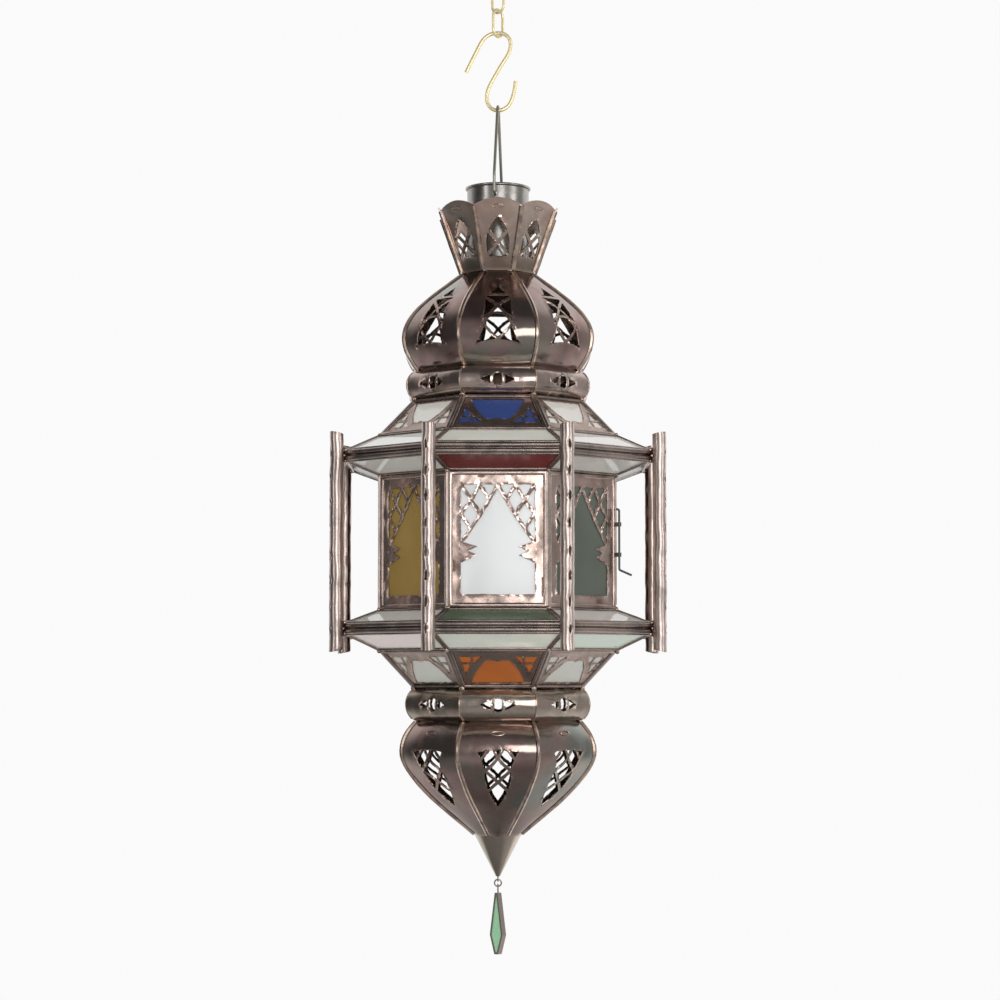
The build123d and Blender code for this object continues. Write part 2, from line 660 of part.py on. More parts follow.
# Upper metalwork
upper_ring_low = ROOF_TOP[1]
upper_ring_high = upper_ring_low + UPPER_RING_HEIGHT
upper_eyes = ring_holes((upper_ring_low + upper_ring_high) / 2)
upper_ring = pierce(ring_segment(upper_ring_low, upper_ring_high), upper_eyes)
keep("upper_ring_segments", *around(upper_ring))
upper_gore = pierce(dome_gore(UPPER_DOME, upper_ring_high, DOME_TOP), upper_gore_holes())
keep("upper_dome_gores", *around(upper_gore))
neck = Pos(0, 0, DOME_TOP) * extrude(octagon(NECK_RADIUS) - Circle(COLLAR_RADIUS + PIN_PLAY), NECK_PLATE)
keep("neck_plate", neck)
keep("crown_petals", *around(crown_petal()))
keep("top_collar", collar())

# Lower metalwork
lower_ring_high = -ROOF_TOP[1]
lower_ring_low = lower_ring_high - LOWER_RING_HEIGHT
lower_eyes = ring_holes((lower_ring_low + lower_ring_high) / 2)
lower_ring = pierce(ring_segment(lower_ring_low, lower_ring_high), lower_eyes)
keep("lower_ring_segments", *around(lower_ring))
lower_gore = pierce(dome_gore(LOWER_DOME, LOWER_DOME_FOOT, lower_ring_low), lower_gore_holes())
keep("lower_dome_gores", *around(lower_gore))
keep("tip_cone", tip_cone())

# Candle holder
inner_face = DRUM_FACE - (LIP + PANE + BACK)
strap_wide, strap_thick = STRAP
strap = Box(2 * inner_face, strap_wide, strap_thick)
keep("tray_straps", Pos(0, 0, STRAP_HEIGHT - strap_thick / 2) * (strap + Rot(0, 0, 90) * strap))
on_floor = (Align.CENTER, Align.CENTER, Align.MIN)
tray = Cylinder(TRAY_RADIUS, TRAY_RISE, align=on_floor)
tray -= Pos(0, 0, TRAY_WALL) * Cylinder(TRAY_RADIUS - TRAY_WALL, TRAY_RISE, align=on_floor)
keep("candle_tray", Pos(0, 0, STRAP_HEIGHT) * tray)
cup = Cylinder(CUP_BORE + CUP_WALL, CUP_HEIGHT, align=on_floor)
cup -= Cylinder(CUP_BORE, CUP_HEIGHT, align=on_floor)
keep("candle_cup", Pos(0, 0, STRAP_HEIGHT + TRAY_WALL) * cup)

# Hanging wires
hook_foot = bail_top() - BAIL_WIRE - HOOK_WIRE - HANG_GAP
lower_link_top = hook_foot + HOOK_HEIGHT - HOOK_WIRE - CHAIN_WIRE - HANG_GAP + LINK_LENGTH
upper_link_top = lower_link_top - 2 * CHAIN_WIRE - HANG_GAP + LINK_LENGTH
keep("bail_wire", bail())
keep("s_hook", s_hook(hook_foot))
keep("chain_link_lower", chain_link(lower_link_top, LINK_TURN))
keep("chain_link_upper", chain_link(upper_link_top, LINK_TURN + 90))

# Pendant drop
eye_centre = CONE_TIP - EYE_WIRE - EYE_RADIUS
ring_centre = eye_centre - EYE_RADIUS + EYE_WIRE + RING_WIRE + HANG_GAP - RING_RADIUS
drop_eye_centre = ring_centre - RING_RADIUS + 2 * RING_WIRE + HANG_GAP - DROP_EYE_RADIUS
drop_top = drop_eye_centre - DROP_EYE_RADIUS - DROP_STEM
eye_stem = stem(EYE_WIRE, CONE_TIP - EYE_WIRE, CONE_TIP + EYE_STEM)
keep("tip_eye", wire_eye(EYE_RADIUS, EYE_WIRE, eye_centre) + eye_stem)
keep("pendant_ring", Pos(0, 0, ring_centre) * Rot(90, 0, 0) * Torus(RING_RADIUS, RING_WIRE))
hang_drop = Pos(0, 0, drop_top) * Rot(0, 0, DROP_TURN)
kite_plane = Plane.XZ.offset(-DROP_DEPTH / 2)
kite = extrude(kite_plane * (drop_outline(0) - drop_outline(DROP_RIM)), DROP_DEPTH, dir=(0, -1, 0))
drop_stem = stem(RING_WIRE, drop_top - DROP_RIM / 2, drop_eye_centre - DROP_EYE_RADIUS)
drop_eye = wire_eye(DROP_EYE_RADIUS, RING_WIRE, drop_eye_centre)
keep("pendant_frame", hang_drop * kite + drop_stem + drop_eye)
drop_panes = []
for pane_back in (DROP_RECESS, DROP_DEPTH - DROP_RECESS - DROP_PANE):
    pane = extrude(kite_plane.offset(pane_back) * drop_outline(DROP_RIM), DROP_PANE, dir=(0, -1, 0))
    drop_panes.append(hang_drop * pane)
keep("pendant_panes", *drop_panes)

# Lower everything so that the hanging point is the origin
hang_height = upper_link_top - CHAIN_WIRE
os.makedirs("parts", exist_ok=True)
for name, solids in PIECES.items():
    lowered = [Pos(0, 0, -hang_height) * solid for solid in solids]
    export_step(Compound(label=name, children=lowered), f"parts/{name}.step")
print(f"{len(PIECES)} pieces, hanging point {hang_height:.3f} mm above the middle of the drum")
axes = {"upper link foot": upper_link_top - LINK_LENGTH, "lower link foot": lower_link_top - LINK_LENGTH,
        "hook foot": hook_foot, "bail holes": BAIL_HOLE_HEIGHT, "tip eye foot": eye_centre - EYE_RADIUS,
        "pendant ring foot": ring_centre - RING_RADIUS,
        "candle cup mouth": STRAP_HEIGHT + TRAY_WALL + CUP_HEIGHT}
for name, height in axes.items():
    print(f"{name} at {height - hang_height:.3f}")
door_axis = around(Pos(hinge_centre(1)) * Cylinder(1, 1), [DOOR_FACE])[0].center()
catch_axis = around(Pos(catch_centre()) * Cylinder(1, 1), [DOOR_FACE - 1])[0].center()
print(f"door axis at {door_axis.X:.3f}, {door_axis.Y:.3f}")
print(f"catch axis at {catch_axis.X:.3f}, {catch_axis.Y:.3f}")
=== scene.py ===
# %% [markdown]
# # A hanging lantern of pierced metal and coloured glass
# The lantern hangs from a chain and an S-hook. Its body is an eight-sided glass drum between two sloping
# glass roofs, held in soldered metal strips called cames, with a pierced metal dome above and below. The
# solids come from the frame at their true sizes; this lesson dresses them in hand-made metal and glass.

# %% Load the frame
import json
import math
from functools import partial
import bmesh
import bpy
import numpy as np
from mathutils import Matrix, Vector, noise
from mathutils.geometry import delaunay_2d_cdt


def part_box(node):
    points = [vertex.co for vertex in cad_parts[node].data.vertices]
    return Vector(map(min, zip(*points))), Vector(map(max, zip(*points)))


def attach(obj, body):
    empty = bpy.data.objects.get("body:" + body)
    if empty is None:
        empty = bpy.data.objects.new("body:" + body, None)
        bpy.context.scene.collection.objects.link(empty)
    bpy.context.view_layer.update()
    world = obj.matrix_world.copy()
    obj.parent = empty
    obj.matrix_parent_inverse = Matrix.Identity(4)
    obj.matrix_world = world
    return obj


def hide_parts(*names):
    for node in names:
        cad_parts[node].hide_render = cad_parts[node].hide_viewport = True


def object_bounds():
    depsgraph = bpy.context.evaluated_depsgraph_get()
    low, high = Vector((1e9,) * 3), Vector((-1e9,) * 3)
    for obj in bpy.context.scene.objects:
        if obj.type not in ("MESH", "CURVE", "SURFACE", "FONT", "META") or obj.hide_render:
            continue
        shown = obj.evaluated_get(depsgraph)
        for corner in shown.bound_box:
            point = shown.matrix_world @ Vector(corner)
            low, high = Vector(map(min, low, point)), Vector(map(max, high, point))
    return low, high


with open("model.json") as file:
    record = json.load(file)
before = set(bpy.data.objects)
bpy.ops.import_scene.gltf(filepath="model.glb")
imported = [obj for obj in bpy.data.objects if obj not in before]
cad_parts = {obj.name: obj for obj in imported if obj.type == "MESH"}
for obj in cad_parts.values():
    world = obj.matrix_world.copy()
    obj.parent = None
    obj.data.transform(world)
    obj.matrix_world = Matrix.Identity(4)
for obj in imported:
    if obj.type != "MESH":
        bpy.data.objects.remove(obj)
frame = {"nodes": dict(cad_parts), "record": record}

cad_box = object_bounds()
scene = bpy.context.scene
scene.view_settings.view_transform = "Standard"
print("frame size", [round(high - low, 4) for low, high in zip(*cad_box)])

# %% [markdown]
# ## Where things are
# Everything on the body repeats eight times round the upright axis, so it is enough to know the front face,
# which looks along -Y. Heights are counted from the middle of the drum, in millimetres, and radii run to
# the corners of the octagon. The pillars are as long above the middle as below, so their box gives that
# height in the frame.

# %% Plan and heights
MM = 0.001
SIDES = 8
STEP = 2 * math.pi / SIDES
COS_HALF = math.cos(STEP / 2)
SIN_HALF = math.sin(STEP / 2)
TAN_HALF = math.tan(STEP / 2)
pillar_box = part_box("corner_pillars")
MIDDLE = (pillar_box[0][2] + pillar_box[1][2]) / 2


def place(x, y, z):
    """A point given in millimetres from the middle of the drum, in the frame."""
    return Vector((x * MM, y * MM, MIDDLE + z * MM))


print("middle of the drum at", round(MIDDLE, 4))

# %% [markdown]
# ## Camera
# The photograph was taken with a long lens a little below the drum, looking slightly up, so the soffit
# under each eave shows. A long lens keeps the far pillars nearly as large as the near ones.

# %% Camera
LOOK_AT = place(1.5, 0, 33.5)
CAMERA_OFFSET = Vector((0, -1.8948, -0.1342))
SENSOR_WIDTH = 36
LENS = 92.2
camera_data = bpy.data.cameras.new("camera")
camera_data.sensor_width = SENSOR_WIDTH
camera_data.lens = LENS
camera = bpy.data.objects.new("camera", camera_data)
camera.location = LOOK_AT + CAMERA_OFFSET
camera.rotation_euler = (LOOK_AT - camera.location).to_track_quat("-Z", "Y").to_euler()
scene.collection.objects.link(camera)
scene.camera = camera
print("camera at", [round(v, 3) for v in camera.location])

# %% [markdown]
# ## Writing nodes in one call
# The world, the finishes and the trees further down are all made of nodes. Adding each node, its values and
# its links by hand takes many lines, so one short helper does the three at once. An input that has no name
# of its own is called by its number, as _0 or _1.

# %% A node in one call


def wired(tree, kind, operation=None, settings=(), **inputs):
    """A new node; each input is a plain value or another node's output."""
    node = tree.nodes.new(kind)
    if operation:
        node.operation = operation
    for setting, value in settings:
        setattr(node, setting, value)
    for label, value in inputs.items():
        socket = node.inputs[int(label[1:])] if label[0] == "_" else node.inputs[label]
        if isinstance(value, bpy.types.NodeSocket):
            tree.links.new(value, socket)
        else:
            socket.default_value = value
    return node


def between(low, high, start, end):
    """Inputs of a Map Range node that turns low and high into start and end."""
    return {"From Min": low, "From Max": high, "To Min": start, "To Max": end}


COLOURS = [("data_type", "RGBA")]
print("a Map Range node takes", between(0, 1, 0, 1))

# %% [markdown]
# ## Light
# Shiny metal shows its surroundings more than its own colour, so the light is a room that only reflections
# see. The wall behind the lantern is bright, and dimmer low down. The right-hand wall, the ground and the
# camera's side are grey, and the ceiling and the left are almost black, so each facet gets its own tone.
# Matt surfaces get an even grey sky, and the camera and the glass see plain white. A world of a few nodes
# does this without any wall that could show from another side.

# %% World
SKY_GREY = (0.74, 0.74, 0.74, 1)
BACKDROP_WHITE = (0.96, 0.96, 0.96, 1)
world = bpy.data.worlds.new("studio")
scene.world = world
world.use_nodes = True
sky = world.node_tree
path = sky.nodes.new("ShaderNodeLightPath").outputs
heading = sky.nodes.new("ShaderNodeTexCoord").outputs["Generated"]
direction = wired(sky, "ShaderNodeSeparateXYZ", _0=heading).outputs


def rise(axis, low, high, top=1.0, start=0.0):
    """A value that climbs from start to top where a ray's direction goes from low to high along an axis."""
    step = wired(sky, "ShaderNodeMapRange", None, [("interpolation_type", "SMOOTHSTEP")],
                 Value=direction[axis], **between(low, high, start, top))
    return step.outputs["Result"]


def combined(operation, first, second):
    """One value from two, by a sum, a product or the larger one."""
    return wired(sky, "ShaderNodeMath", operation, _0=first, _1=second).outputs[0]


def choose(factor, low, high):
    """A world colour that changes from low to high with a ray's kind."""
    return wired(sky, "ShaderNodeMix", None, COLOURS, Factor=factor, _6=low, _7=high).outputs[2]


backdrop = combined("MULTIPLY", rise("Y", 0.12, 0.5, 0.95), rise("Z", 0.74, 0.92, 0.0, 1.0))
backdrop = combined("MULTIPLY", backdrop, rise("Z", -0.75, -0.35, 1.0, 0.45))
right_wall = rise("X", 0.15, 0.85, 0.42, 0.08)
camera_side = rise("Y", -0.45, -0.9, 0.25)
ground = rise("Z", -0.15, -0.5, 0.16)
room = combined("ADD", combined("ADD", combined("ADD", right_wall, backdrop), camera_side), ground)
reflected = choose(path["Is Glossy Ray"], SKY_GREY, room)
shown = combined("MAXIMUM", path["Is Camera Ray"], path["Is Transmission Ray"])
sky.links.new(choose(shown, reflected, BACKDROP_WHITE), sky.nodes["Background"].inputs["Color"])
print("world has", len(sky.nodes), "nodes")

# %% [markdown]
# ## Lamps and floor
# Three soft boxes draw the long highlights on the pillars and on the front of the drum. They are area
# lamps, because a small lamp would leave points of light in place of bands. The floor lies well below the
# pendant and takes the shadow. The camera and the glass see it lifted to the white of the backdrop, and
# reflections see the world instead.

# %% Soft boxes
SOFT_BOXES = {
    # name: (place, width and height, watts)
    "front light": ((0.44, -1.9, -0.2), (0.78, 0.9), 9),
    "left light": ((-1.35, -1.35, 0.0), (0.3, 1.5), 5),
    "right light": ((1.5, -0.9, 0.1), (0.4, 1.5), 6),
}
for name, (position, (width, height), power) in SOFT_BOXES.items():
    lamp = bpy.data.lights.new(name, "AREA")
    lamp.shape = "RECTANGLE"
    lamp.size = width
    lamp.size_y = height
    lamp.energy = power
    holder = bpy.data.objects.new(name, lamp)
    holder.location = position
    holder.rotation_euler = (LOOK_AT - Vector(position)).to_track_quat("-Z", "Y").to_euler()
    scene.collection.objects.link(holder)
print(len(SOFT_BOXES), "soft boxes")

# %% Floor
FLOOR_DROP = 0.55
FLOOR_HALF = 2
FLOOR_VALUES = {"Base Color": (0.86, 0.86, 0.86, 1), "Roughness": 0.9,
                "Emission Color": (0.29, 0.29, 0.29, 1)}
floor_height = cad_box[0][2] - FLOOR_DROP
floor_corners = [(x * FLOOR_HALF, y * FLOOR_HALF, floor_height)
                 for x, y in ((-1, -1), (1, -1), (1, 1), (-1, 1))]
floor_mesh = bpy.data.meshes.new("floor")
floor_mesh.from_pydata(floor_corners, [], [(0, 1, 2, 3)])
floor = bpy.data.objects.new("floor", floor_mesh)
scene.collection.objects.link(floor)
floor_paint = bpy.data.materials.new("pale floor")
floor_paint.use_nodes = True
paint = floor_paint.node_tree
surface = paint.nodes["Principled BSDF"].inputs
for socket, value in FLOOR_VALUES.items():
    surface[socket].default_value = value
ray = paint.nodes.new("ShaderNodeLightPath").outputs
seen = wired(paint, "ShaderNodeMath", "MAXIMUM", _0=ray["Is Camera Ray"], _1=ray["Is Transmission Ray"])
paint.links.new(seen.outputs[0], surface["Emission Strength"])
floor_mesh.materials.append(floor_paint)
floor.visible_glossy = False
print("floor at", round(floor_height, 3))

# %% [markdown]
# ## Finishes
# A finish is a material: a surface shader, fed by a few nodes. The nodes read a point's own place on the
# object, so no picture and no unwrapping is needed and the pattern stays put when a part moves. The same
# few steps come back in every finish, so a small class gives them short names.

# %% A short way to write finishes


class Finish:
    """A material, with its surface shader and short calls for the nodes that feed it."""

    def __init__(self, name):
        self.material = bpy.data.materials.new(name)
        self.material.use_nodes = True
        self.tree = self.material.node_tree
        self.surface = self.tree.nodes["Principled BSDF"]
        self.place = self.node("ShaderNodeTexCoord").outputs["Object"]

    def node(self, kind, settings=(), **inputs):
        """A new node in the finish's own tree."""
        return wired(self.tree, kind, None, settings, **inputs)

    def set(self, **values):
        """Plain values on the surface shader's own sockets."""
        for socket, value in values.items():
            self.surface.inputs[socket.replace("_", " ")].default_value = value

    def feed(self, source, socket):
        """A node's output to one of the surface shader's sockets."""
        self.tree.links.new(source, self.surface.inputs[socket])

    def noise(self, scale, detail=3.0, distortion=0.0, shift=0.0):
        """Soft random clouds; scale counts them per metre, shift slides them along."""
        slid = self.node("ShaderNodeMapping", Vector=self.place, Location=(shift, 0, 0))
        cloud = self.node("ShaderNodeTexNoise", Vector=slid.outputs["Vector"], Scale=scale, Detail=detail,
                          Distortion=distortion)
        return cloud.outputs["Fac"]

    def ramp(self, source, stops):
        """Colours laid along a value."""
        ramp = self.node("ShaderNodeValToRGB", Fac=source)
        elements = ramp.color_ramp.elements
        elements.remove(elements[1])
        for number, (position, colour) in enumerate(stops):
            element = elements[0] if number == 0 else elements.new(position)
            element.position = position
            element.color = (*colour, 1)
        return ramp.outputs["Color"]

    def spread(self, source, low, high):
        """A cloud's middle values stretched to a range of plain numbers."""
        return self.node("ShaderNodeMapRange", Value=source, **between(0.3, 0.7, low, high)).outputs["Result"]

    def mix(self, factor, first, colour):
        """A colour from a node mixed with a plain one by a factor."""
        mix = self.node("ShaderNodeMix", COLOURS, Factor=factor, _6=first, _7=(*colour, 1))
        return mix.outputs[2]

    def fade(self, axis, full, none, most=1.0):
        """A factor that falls from most to nothing between two places along an axis, in millimetres."""
        split = self.node("ShaderNodeSeparateXYZ", _0=self.place)
        ends = [place(end, end, end)["XYZ".index(axis)] for end in (full, none)]
        fade = self.node("ShaderNodeMapRange", Value=split.outputs[axis], **between(*ends, most, 0.0))
        return fade.outputs["Result"]

    def painted(self, name):
        """A value painted on the mesh."""
        attribute = self.node("ShaderNodeAttribute", [("attribute_name", name)])
        return attribute.outputs["Fac"]

    def bumps(self, *layers):
        """Bump layers, each a height, a depth in millimetres and a strength, one over the other."""
        below = {}
        for height, depth, strength in layers:
            bump = self.node("ShaderNodeBump", Height=height, Distance=depth * MM, Strength=strength, **below)
            below = {"Normal": bump.outputs["Normal"]}
        self.feed(below["Normal"], "Normal")


print("calls of a finish:", [call for call in vars(Finish) if not call.startswith("_")])

# %% [markdown]
# ## Heated metal
# The sheet is tinned steel that was heated until it turned brown, copper and blue, then lacquered. Each
# finish is a cloud of those colours, a slow ripple that bends the reflections and fine specks in the gloss.
# The cut edges were rubbed bright: a value called worn, painted on the mesh below, brings copper out there.
# The brass and the lacquered wires are plain, so one even colour does for them.

# %% Metal of the crown, the domes and the ring bands
PAINTED_SHADE_COLOUR = (0.10, 0.078, 0.060)
SMEARS, GLOSS_CLOUDS, RIPPLES, GRAINS = 260, 120, 45, 420  # per metre
RIPPLE_DEPTH, GRAIN_DEPTH = 2.0, 0.1


def heated_metal(name, stops, worn_colour, gloss, cloud_size=60.0, ripple=0.1, grain=0.15, painted_shade=None,
                 shift=0.0):
    """Heat-tinted sheet: tint clouds, worn edges, uneven gloss, a slow ripple and painted shade between
    heights.
    """
    finish = Finish(name)
    tint = finish.ramp(finish.noise(1000 / cloud_size, 3, 0.9, shift), stops)
    smears = finish.spread(finish.noise(SMEARS, 3, 0.4), 0.0, 1.5 * grain)
    tint = finish.mix(smears, tint, stops[0][1])
    # Painted shade: the tint darkens towards one height, standing for the shade at the foot of the lower dome
    # and of the petals.
    if painted_shade:
        tint = finish.mix(finish.fade("Z", *painted_shade), tint, PAINTED_SHADE_COLOUR)
    finish.feed(finish.mix(finish.painted("worn"), tint, worn_colour), "Base Color")
    finish.feed(finish.spread(finish.noise(GLOSS_CLOUDS, 4), gloss - 0.03, gloss + 0.06), "Roughness")
    finish.set(Metallic=1.0)
    finish.bumps((finish.noise(RIPPLES, 2, 0.3), RIPPLE_DEPTH, ripple),
                 (finish.noise(GRAINS, 3), GRAIN_DEPTH, grain))
    return finish.material


# The dark sheet darkens towards the foot of the lower dome: painted shade.
dark_sheet = heated_metal(
    "dark sheet",
    [(0.30, (0.225, 0.170, 0.158)), (0.40, (0.330, 0.218, 0.198)), (0.48, (0.345, 0.262, 0.238)),
     (0.56, (0.290, 0.258, 0.220)), (0.64, (0.245, 0.262, 0.245)), (0.74, (0.345, 0.230, 0.200))],
    worn_colour=(0.44, 0.31, 0.24), gloss=0.15, painted_shade=(-215.0, -165.0, 0.5), shift=2.1)
# The petal finish is lighter than the dome sheet. Part of that is the petals' own copper tint and part is a
# painted highlight on their tops. It darkens towards their foot as painted shade.
petal_copper_and_highlight = heated_metal(
    "petal copper and highlight",
    [(0.30, (0.400, 0.300, 0.255)), (0.43, (0.590, 0.430, 0.365)), (0.53, (0.660, 0.530, 0.455)),
     (0.62, (0.520, 0.465, 0.405)), (0.72, (0.610, 0.415, 0.360))],
    worn_colour=(0.55, 0.4, 0.31), gloss=0.18, cloud_size=32.0, ripple=0.2, painted_shade=(200.0, 246.0, 0.75))
ring_olive = heated_metal(
    "ring olive",
    [(0.30, (0.290, 0.250, 0.210)), (0.46, (0.410, 0.355, 0.300)), (0.58, (0.460, 0.370, 0.315)),
     (0.70, (0.350, 0.330, 0.285))],
    worn_colour=(0.5, 0.37, 0.3), gloss=0.17, cloud_size=35.0, ripple=0.25)
ring_copper = heated_metal(
    "ring copper",
    [(0.30, (0.300, 0.250, 0.230)), (0.45, (0.430, 0.335, 0.300)), (0.56, (0.560, 0.430, 0.390)),
     (0.70, (0.400, 0.350, 0.320))],
    worn_colour=(0.5, 0.37, 0.3), gloss=0.18, cloud_size=35.0, ripple=0.25)
print("finishes:", [coat.name for coat in (dark_sheet, petal_copper_and_highlight, ring_olive, ring_copper)])

# %% Metal of the body
# The roof sheets wear a darker copy of the overlay sheet: painted shade, for roofs that lie out of the light.
shaded_roof_metal = heated_metal(
    "roof sheet",
    [(0.30, (0.250, 0.190, 0.160)), (0.48, (0.350, 0.270, 0.228)), (0.66, (0.430, 0.335, 0.288))],
    worn_colour=(0.42, 0.31, 0.27), gloss=0.25, cloud_size=25.0, ripple=0.25)
came_metal = heated_metal(
    "came strip",
    [(0.30, (0.215, 0.180, 0.162)), (0.48, (0.320, 0.262, 0.235)), (0.62, (0.410, 0.320, 0.285))],
    worn_colour=(0.46, 0.36, 0.31), gloss=0.24, cloud_size=24.0)
# The cames of the drum and the door wear a lighter copy of the came strip: a painted highlight, for the light
# that the front of the drum catches.
drum_came_highlight = heated_metal(
    "drum frame highlight",
    [(0.30, (0.340, 0.270, 0.240)), (0.48, (0.480, 0.380, 0.335)), (0.62, (0.580, 0.465, 0.415))],
    worn_colour=(0.5, 0.38, 0.33), gloss=0.22, cloud_size=24.0)
# The overlay sheet is lighter than the roof sheets' copy of it. Part of that is its own copper tint and part
# is a painted highlight, where the front of the drum catches the light.
overlay_metal = heated_metal(
    "overlay sheet",
    [(0.30, (0.380, 0.285, 0.248)), (0.48, (0.540, 0.418, 0.368)), (0.66, (0.640, 0.515, 0.460))],
    worn_colour=(0.46, 0.34, 0.3), gloss=0.22, cloud_size=25.0, ripple=0.25)
pillar_metal = heated_metal(
    "hammered pillar",
    [(0.30, (0.330, 0.275, 0.250)), (0.48, (0.480, 0.400, 0.368)), (0.66, (0.580, 0.470, 0.430))],
    worn_colour=(0.4, 0.3, 0.26), gloss=0.3, cloud_size=22.0, ripple=0.15)
seam_metal = heated_metal(
    "seam strip",
    [(0.34, (0.290, 0.225, 0.220)), (0.44, (0.480, 0.350, 0.285)), (0.54, (0.600, 0.460, 0.360)),
     (0.66, (0.400, 0.330, 0.310))],
    worn_colour=(0.46, 0.35, 0.28), gloss=0.22, cloud_size=14.0, ripple=0.15)
body_metal = (shaded_roof_metal, came_metal, drum_came_highlight, overlay_metal, pillar_metal, seam_metal)
print("finishes:", [coat.name for coat in body_metal])

# %% Wire and tin
steel_wire = heated_metal(
    "dark wire",
    [(0.30, (0.170, 0.158, 0.142)), (0.55, (0.270, 0.252, 0.222)), (0.72, (0.340, 0.305, 0.260))],
    worn_colour=(0.4, 0.36, 0.33), gloss=0.28, cloud_size=12.0, ripple=0.05, grain=0.06)
plain_tin = heated_metal(
    "plain tin",
    [(0.30, (0.320, 0.305, 0.280)), (0.55, (0.440, 0.415, 0.390)), (0.72, (0.380, 0.340, 0.300))],
    worn_colour=(0.5, 0.46, 0.42), gloss=0.26, cloud_size=30.0, ripple=0.12)
collar_tin = heated_metal(
    "collar tin",
    [(0.30, (0.230, 0.220, 0.205)), (0.50, (0.340, 0.325, 0.305)), (0.70, (0.270, 0.262, 0.245))],
    worn_colour=(0.42, 0.38, 0.34), gloss=0.26, cloud_size=16.0, ripple=0.2)


def smooth_wire(name, colour, metallic, rough):
    """Drawn and lacquered wire: one even colour."""
    finish = Finish(name)
    finish.set(Base_Color=(*colour, 1), Metallic=metallic, Roughness=rough)
    return finish.material


brass_wire = smooth_wire("brass wire", (0.84, 0.72, 0.44), metallic=0.6, rough=0.22)
bail_grey = smooth_wire("bail wire", (0.33, 0.315, 0.275), metallic=0.75, rough=0.25)
catch_dark = smooth_wire("catch wire", (0.085, 0.08, 0.066), metallic=0.6, rough=0.35)
pendant_brown = smooth_wire("pendant frame", (0.24, 0.205, 0.175), metallic=0.6, rough=0.3)
print(len(bpy.data.materials), "materials so far")

# %% [markdown]
# ## Glass
# The panes are hand-cut sheet glass with a dull, milky back, so little shows through and each pane reads as
# an even field of colour. The tone drifts slowly over a pane, and the gloss is a little uneven. The clear
# panes of the eaves come from several sheets, so their cast changes from the left-hand panes to the
# right-hand ones.

# %% Sheet glass
GLASS_IOR = 1.45
GLASS_CLOUDS, GLASS_DRIFTS = 60, 16  # per metre


def tinted_glass(finish, tint, clear, rough):
    """Glass with a tint; clear says how much light goes straight through."""
    finish.feed(tint, "Base Color")
    finish.feed(finish.spread(finish.noise(GLASS_CLOUDS, 2), rough * 0.9, rough * 1.1), "Roughness")
    finish.set(Transmission_Weight=clear, IOR=GLASS_IOR, Metallic=0.0)
    return finish.material


def sheet_glass(name, colour, deep, clear, rough):
    """Glass whose colour drifts between two tones."""
    finish = Finish(name)
    tint = finish.ramp(finish.noise(GLASS_DRIFTS, 2, 0.4), [(0.35, deep), (0.65, colour)])
    return tinted_glass(finish, tint, clear, rough)


SHEET_GLASS = {
    # slot: (name, main tone, deep tone, share of light that goes straight through, roughness)
    "glass_clear": ("pale sheet glass", (0.77, 0.80, 0.72), (0.79, 0.74, 0.70), 0.25, 0.03),
    "glass_frosted": ("frosted glass", (0.97, 0.98, 0.98), (0.93, 0.95, 0.95), 0.2, 0.1),
    "glass_amber": ("amber glass", (0.32, 0.21, 0.055), (0.25, 0.16, 0.04), 0.15, 0.25),
    "glass_green": ("grey green glass", (0.125, 0.175, 0.115), (0.09, 0.135, 0.085), 0.2, 0.22),
    "glass_blue": ("blue glass", (0.032, 0.062, 0.22), (0.024, 0.048, 0.16), 0.15, 0.25),
    "glass_red": ("red glass", (0.21, 0.03, 0.03), (0.15, 0.022, 0.022), 0.2, 0.2),
    "glass_orange": ("orange glass", (0.51, 0.155, 0.028), (0.42, 0.11, 0.02), 0.2, 0.25),
    "glass_pale_green": ("pale green glass", (0.44, 0.76, 0.50), (0.34, 0.66, 0.40), 0.3, 0.15),
}
glass = {slot: sheet_glass(*values) for slot, values in SHEET_GLASS.items()}
# The lower roof panes get a darker copy of the pale sheet glass: painted shade.
painted_shade_glass = sheet_glass("sheet glass in painted shade", (0.62, 0.64, 0.58), (0.64, 0.59, 0.55), 0.25, 0.25)
drum_green = sheet_glass("smoky green glass", (0.126, 0.145, 0.121), (0.098, 0.116, 0.095), 0.2, 0.22)
print(len(glass), "kinds of sheet glass")

# %% Glass of the eaves
CAST_REACH = 100
CAST_CLEAR, CAST_ROUGH = 0.25, 0.03


def eave_glass(name, left, middle, right):
    """Clear panes cut from several sheets, with a cast on the left, in the middle and on the right."""
    finish = Finish(name)
    casts = [(0.25, left), (0.28, middle), (0.72, middle), (0.75, right)]
    tint = finish.ramp(finish.fade("X", CAST_REACH, -CAST_REACH), casts)
    return tinted_glass(finish, tint, CAST_CLEAR, CAST_ROUGH)


EAVE_CASTS = {
    # level: (left, middle, right)
    "upper": ((0.89, 0.91, 0.86), (0.78, 0.78, 0.70), (0.91, 0.88, 0.84)),
    "lower": ((0.78, 0.67, 0.63), (0.80, 0.83, 0.73), (0.66, 0.74, 0.63)),
}
eave_panes = {level + "_eave_panes": eave_glass(level + " eave glass", *casts)
              for level, casts in EAVE_CASTS.items()}
print("eave glass for", list(eave_panes))

# %% [markdown]
# ## Dressing the solids
# The record names a slot for every solid, such as came metal or red glass, so the first coat goes on by
# slot. A few pieces differ from the rest of their slot on the real lantern: the bail is greyer than the
# other wires, the collar has no heat tints, and the catch has gone black.

# %% Give every solid of the frame its finish
metal = {"dark_sheet": dark_sheet, "came_metal": came_metal, "overlay_metal": overlay_metal,
         "pillar_metal": pillar_metal, "steel_wire": steel_wire, "plain_tin": plain_tin,
         "brass_wire": brass_wire}
finishes = {**metal, **glass}
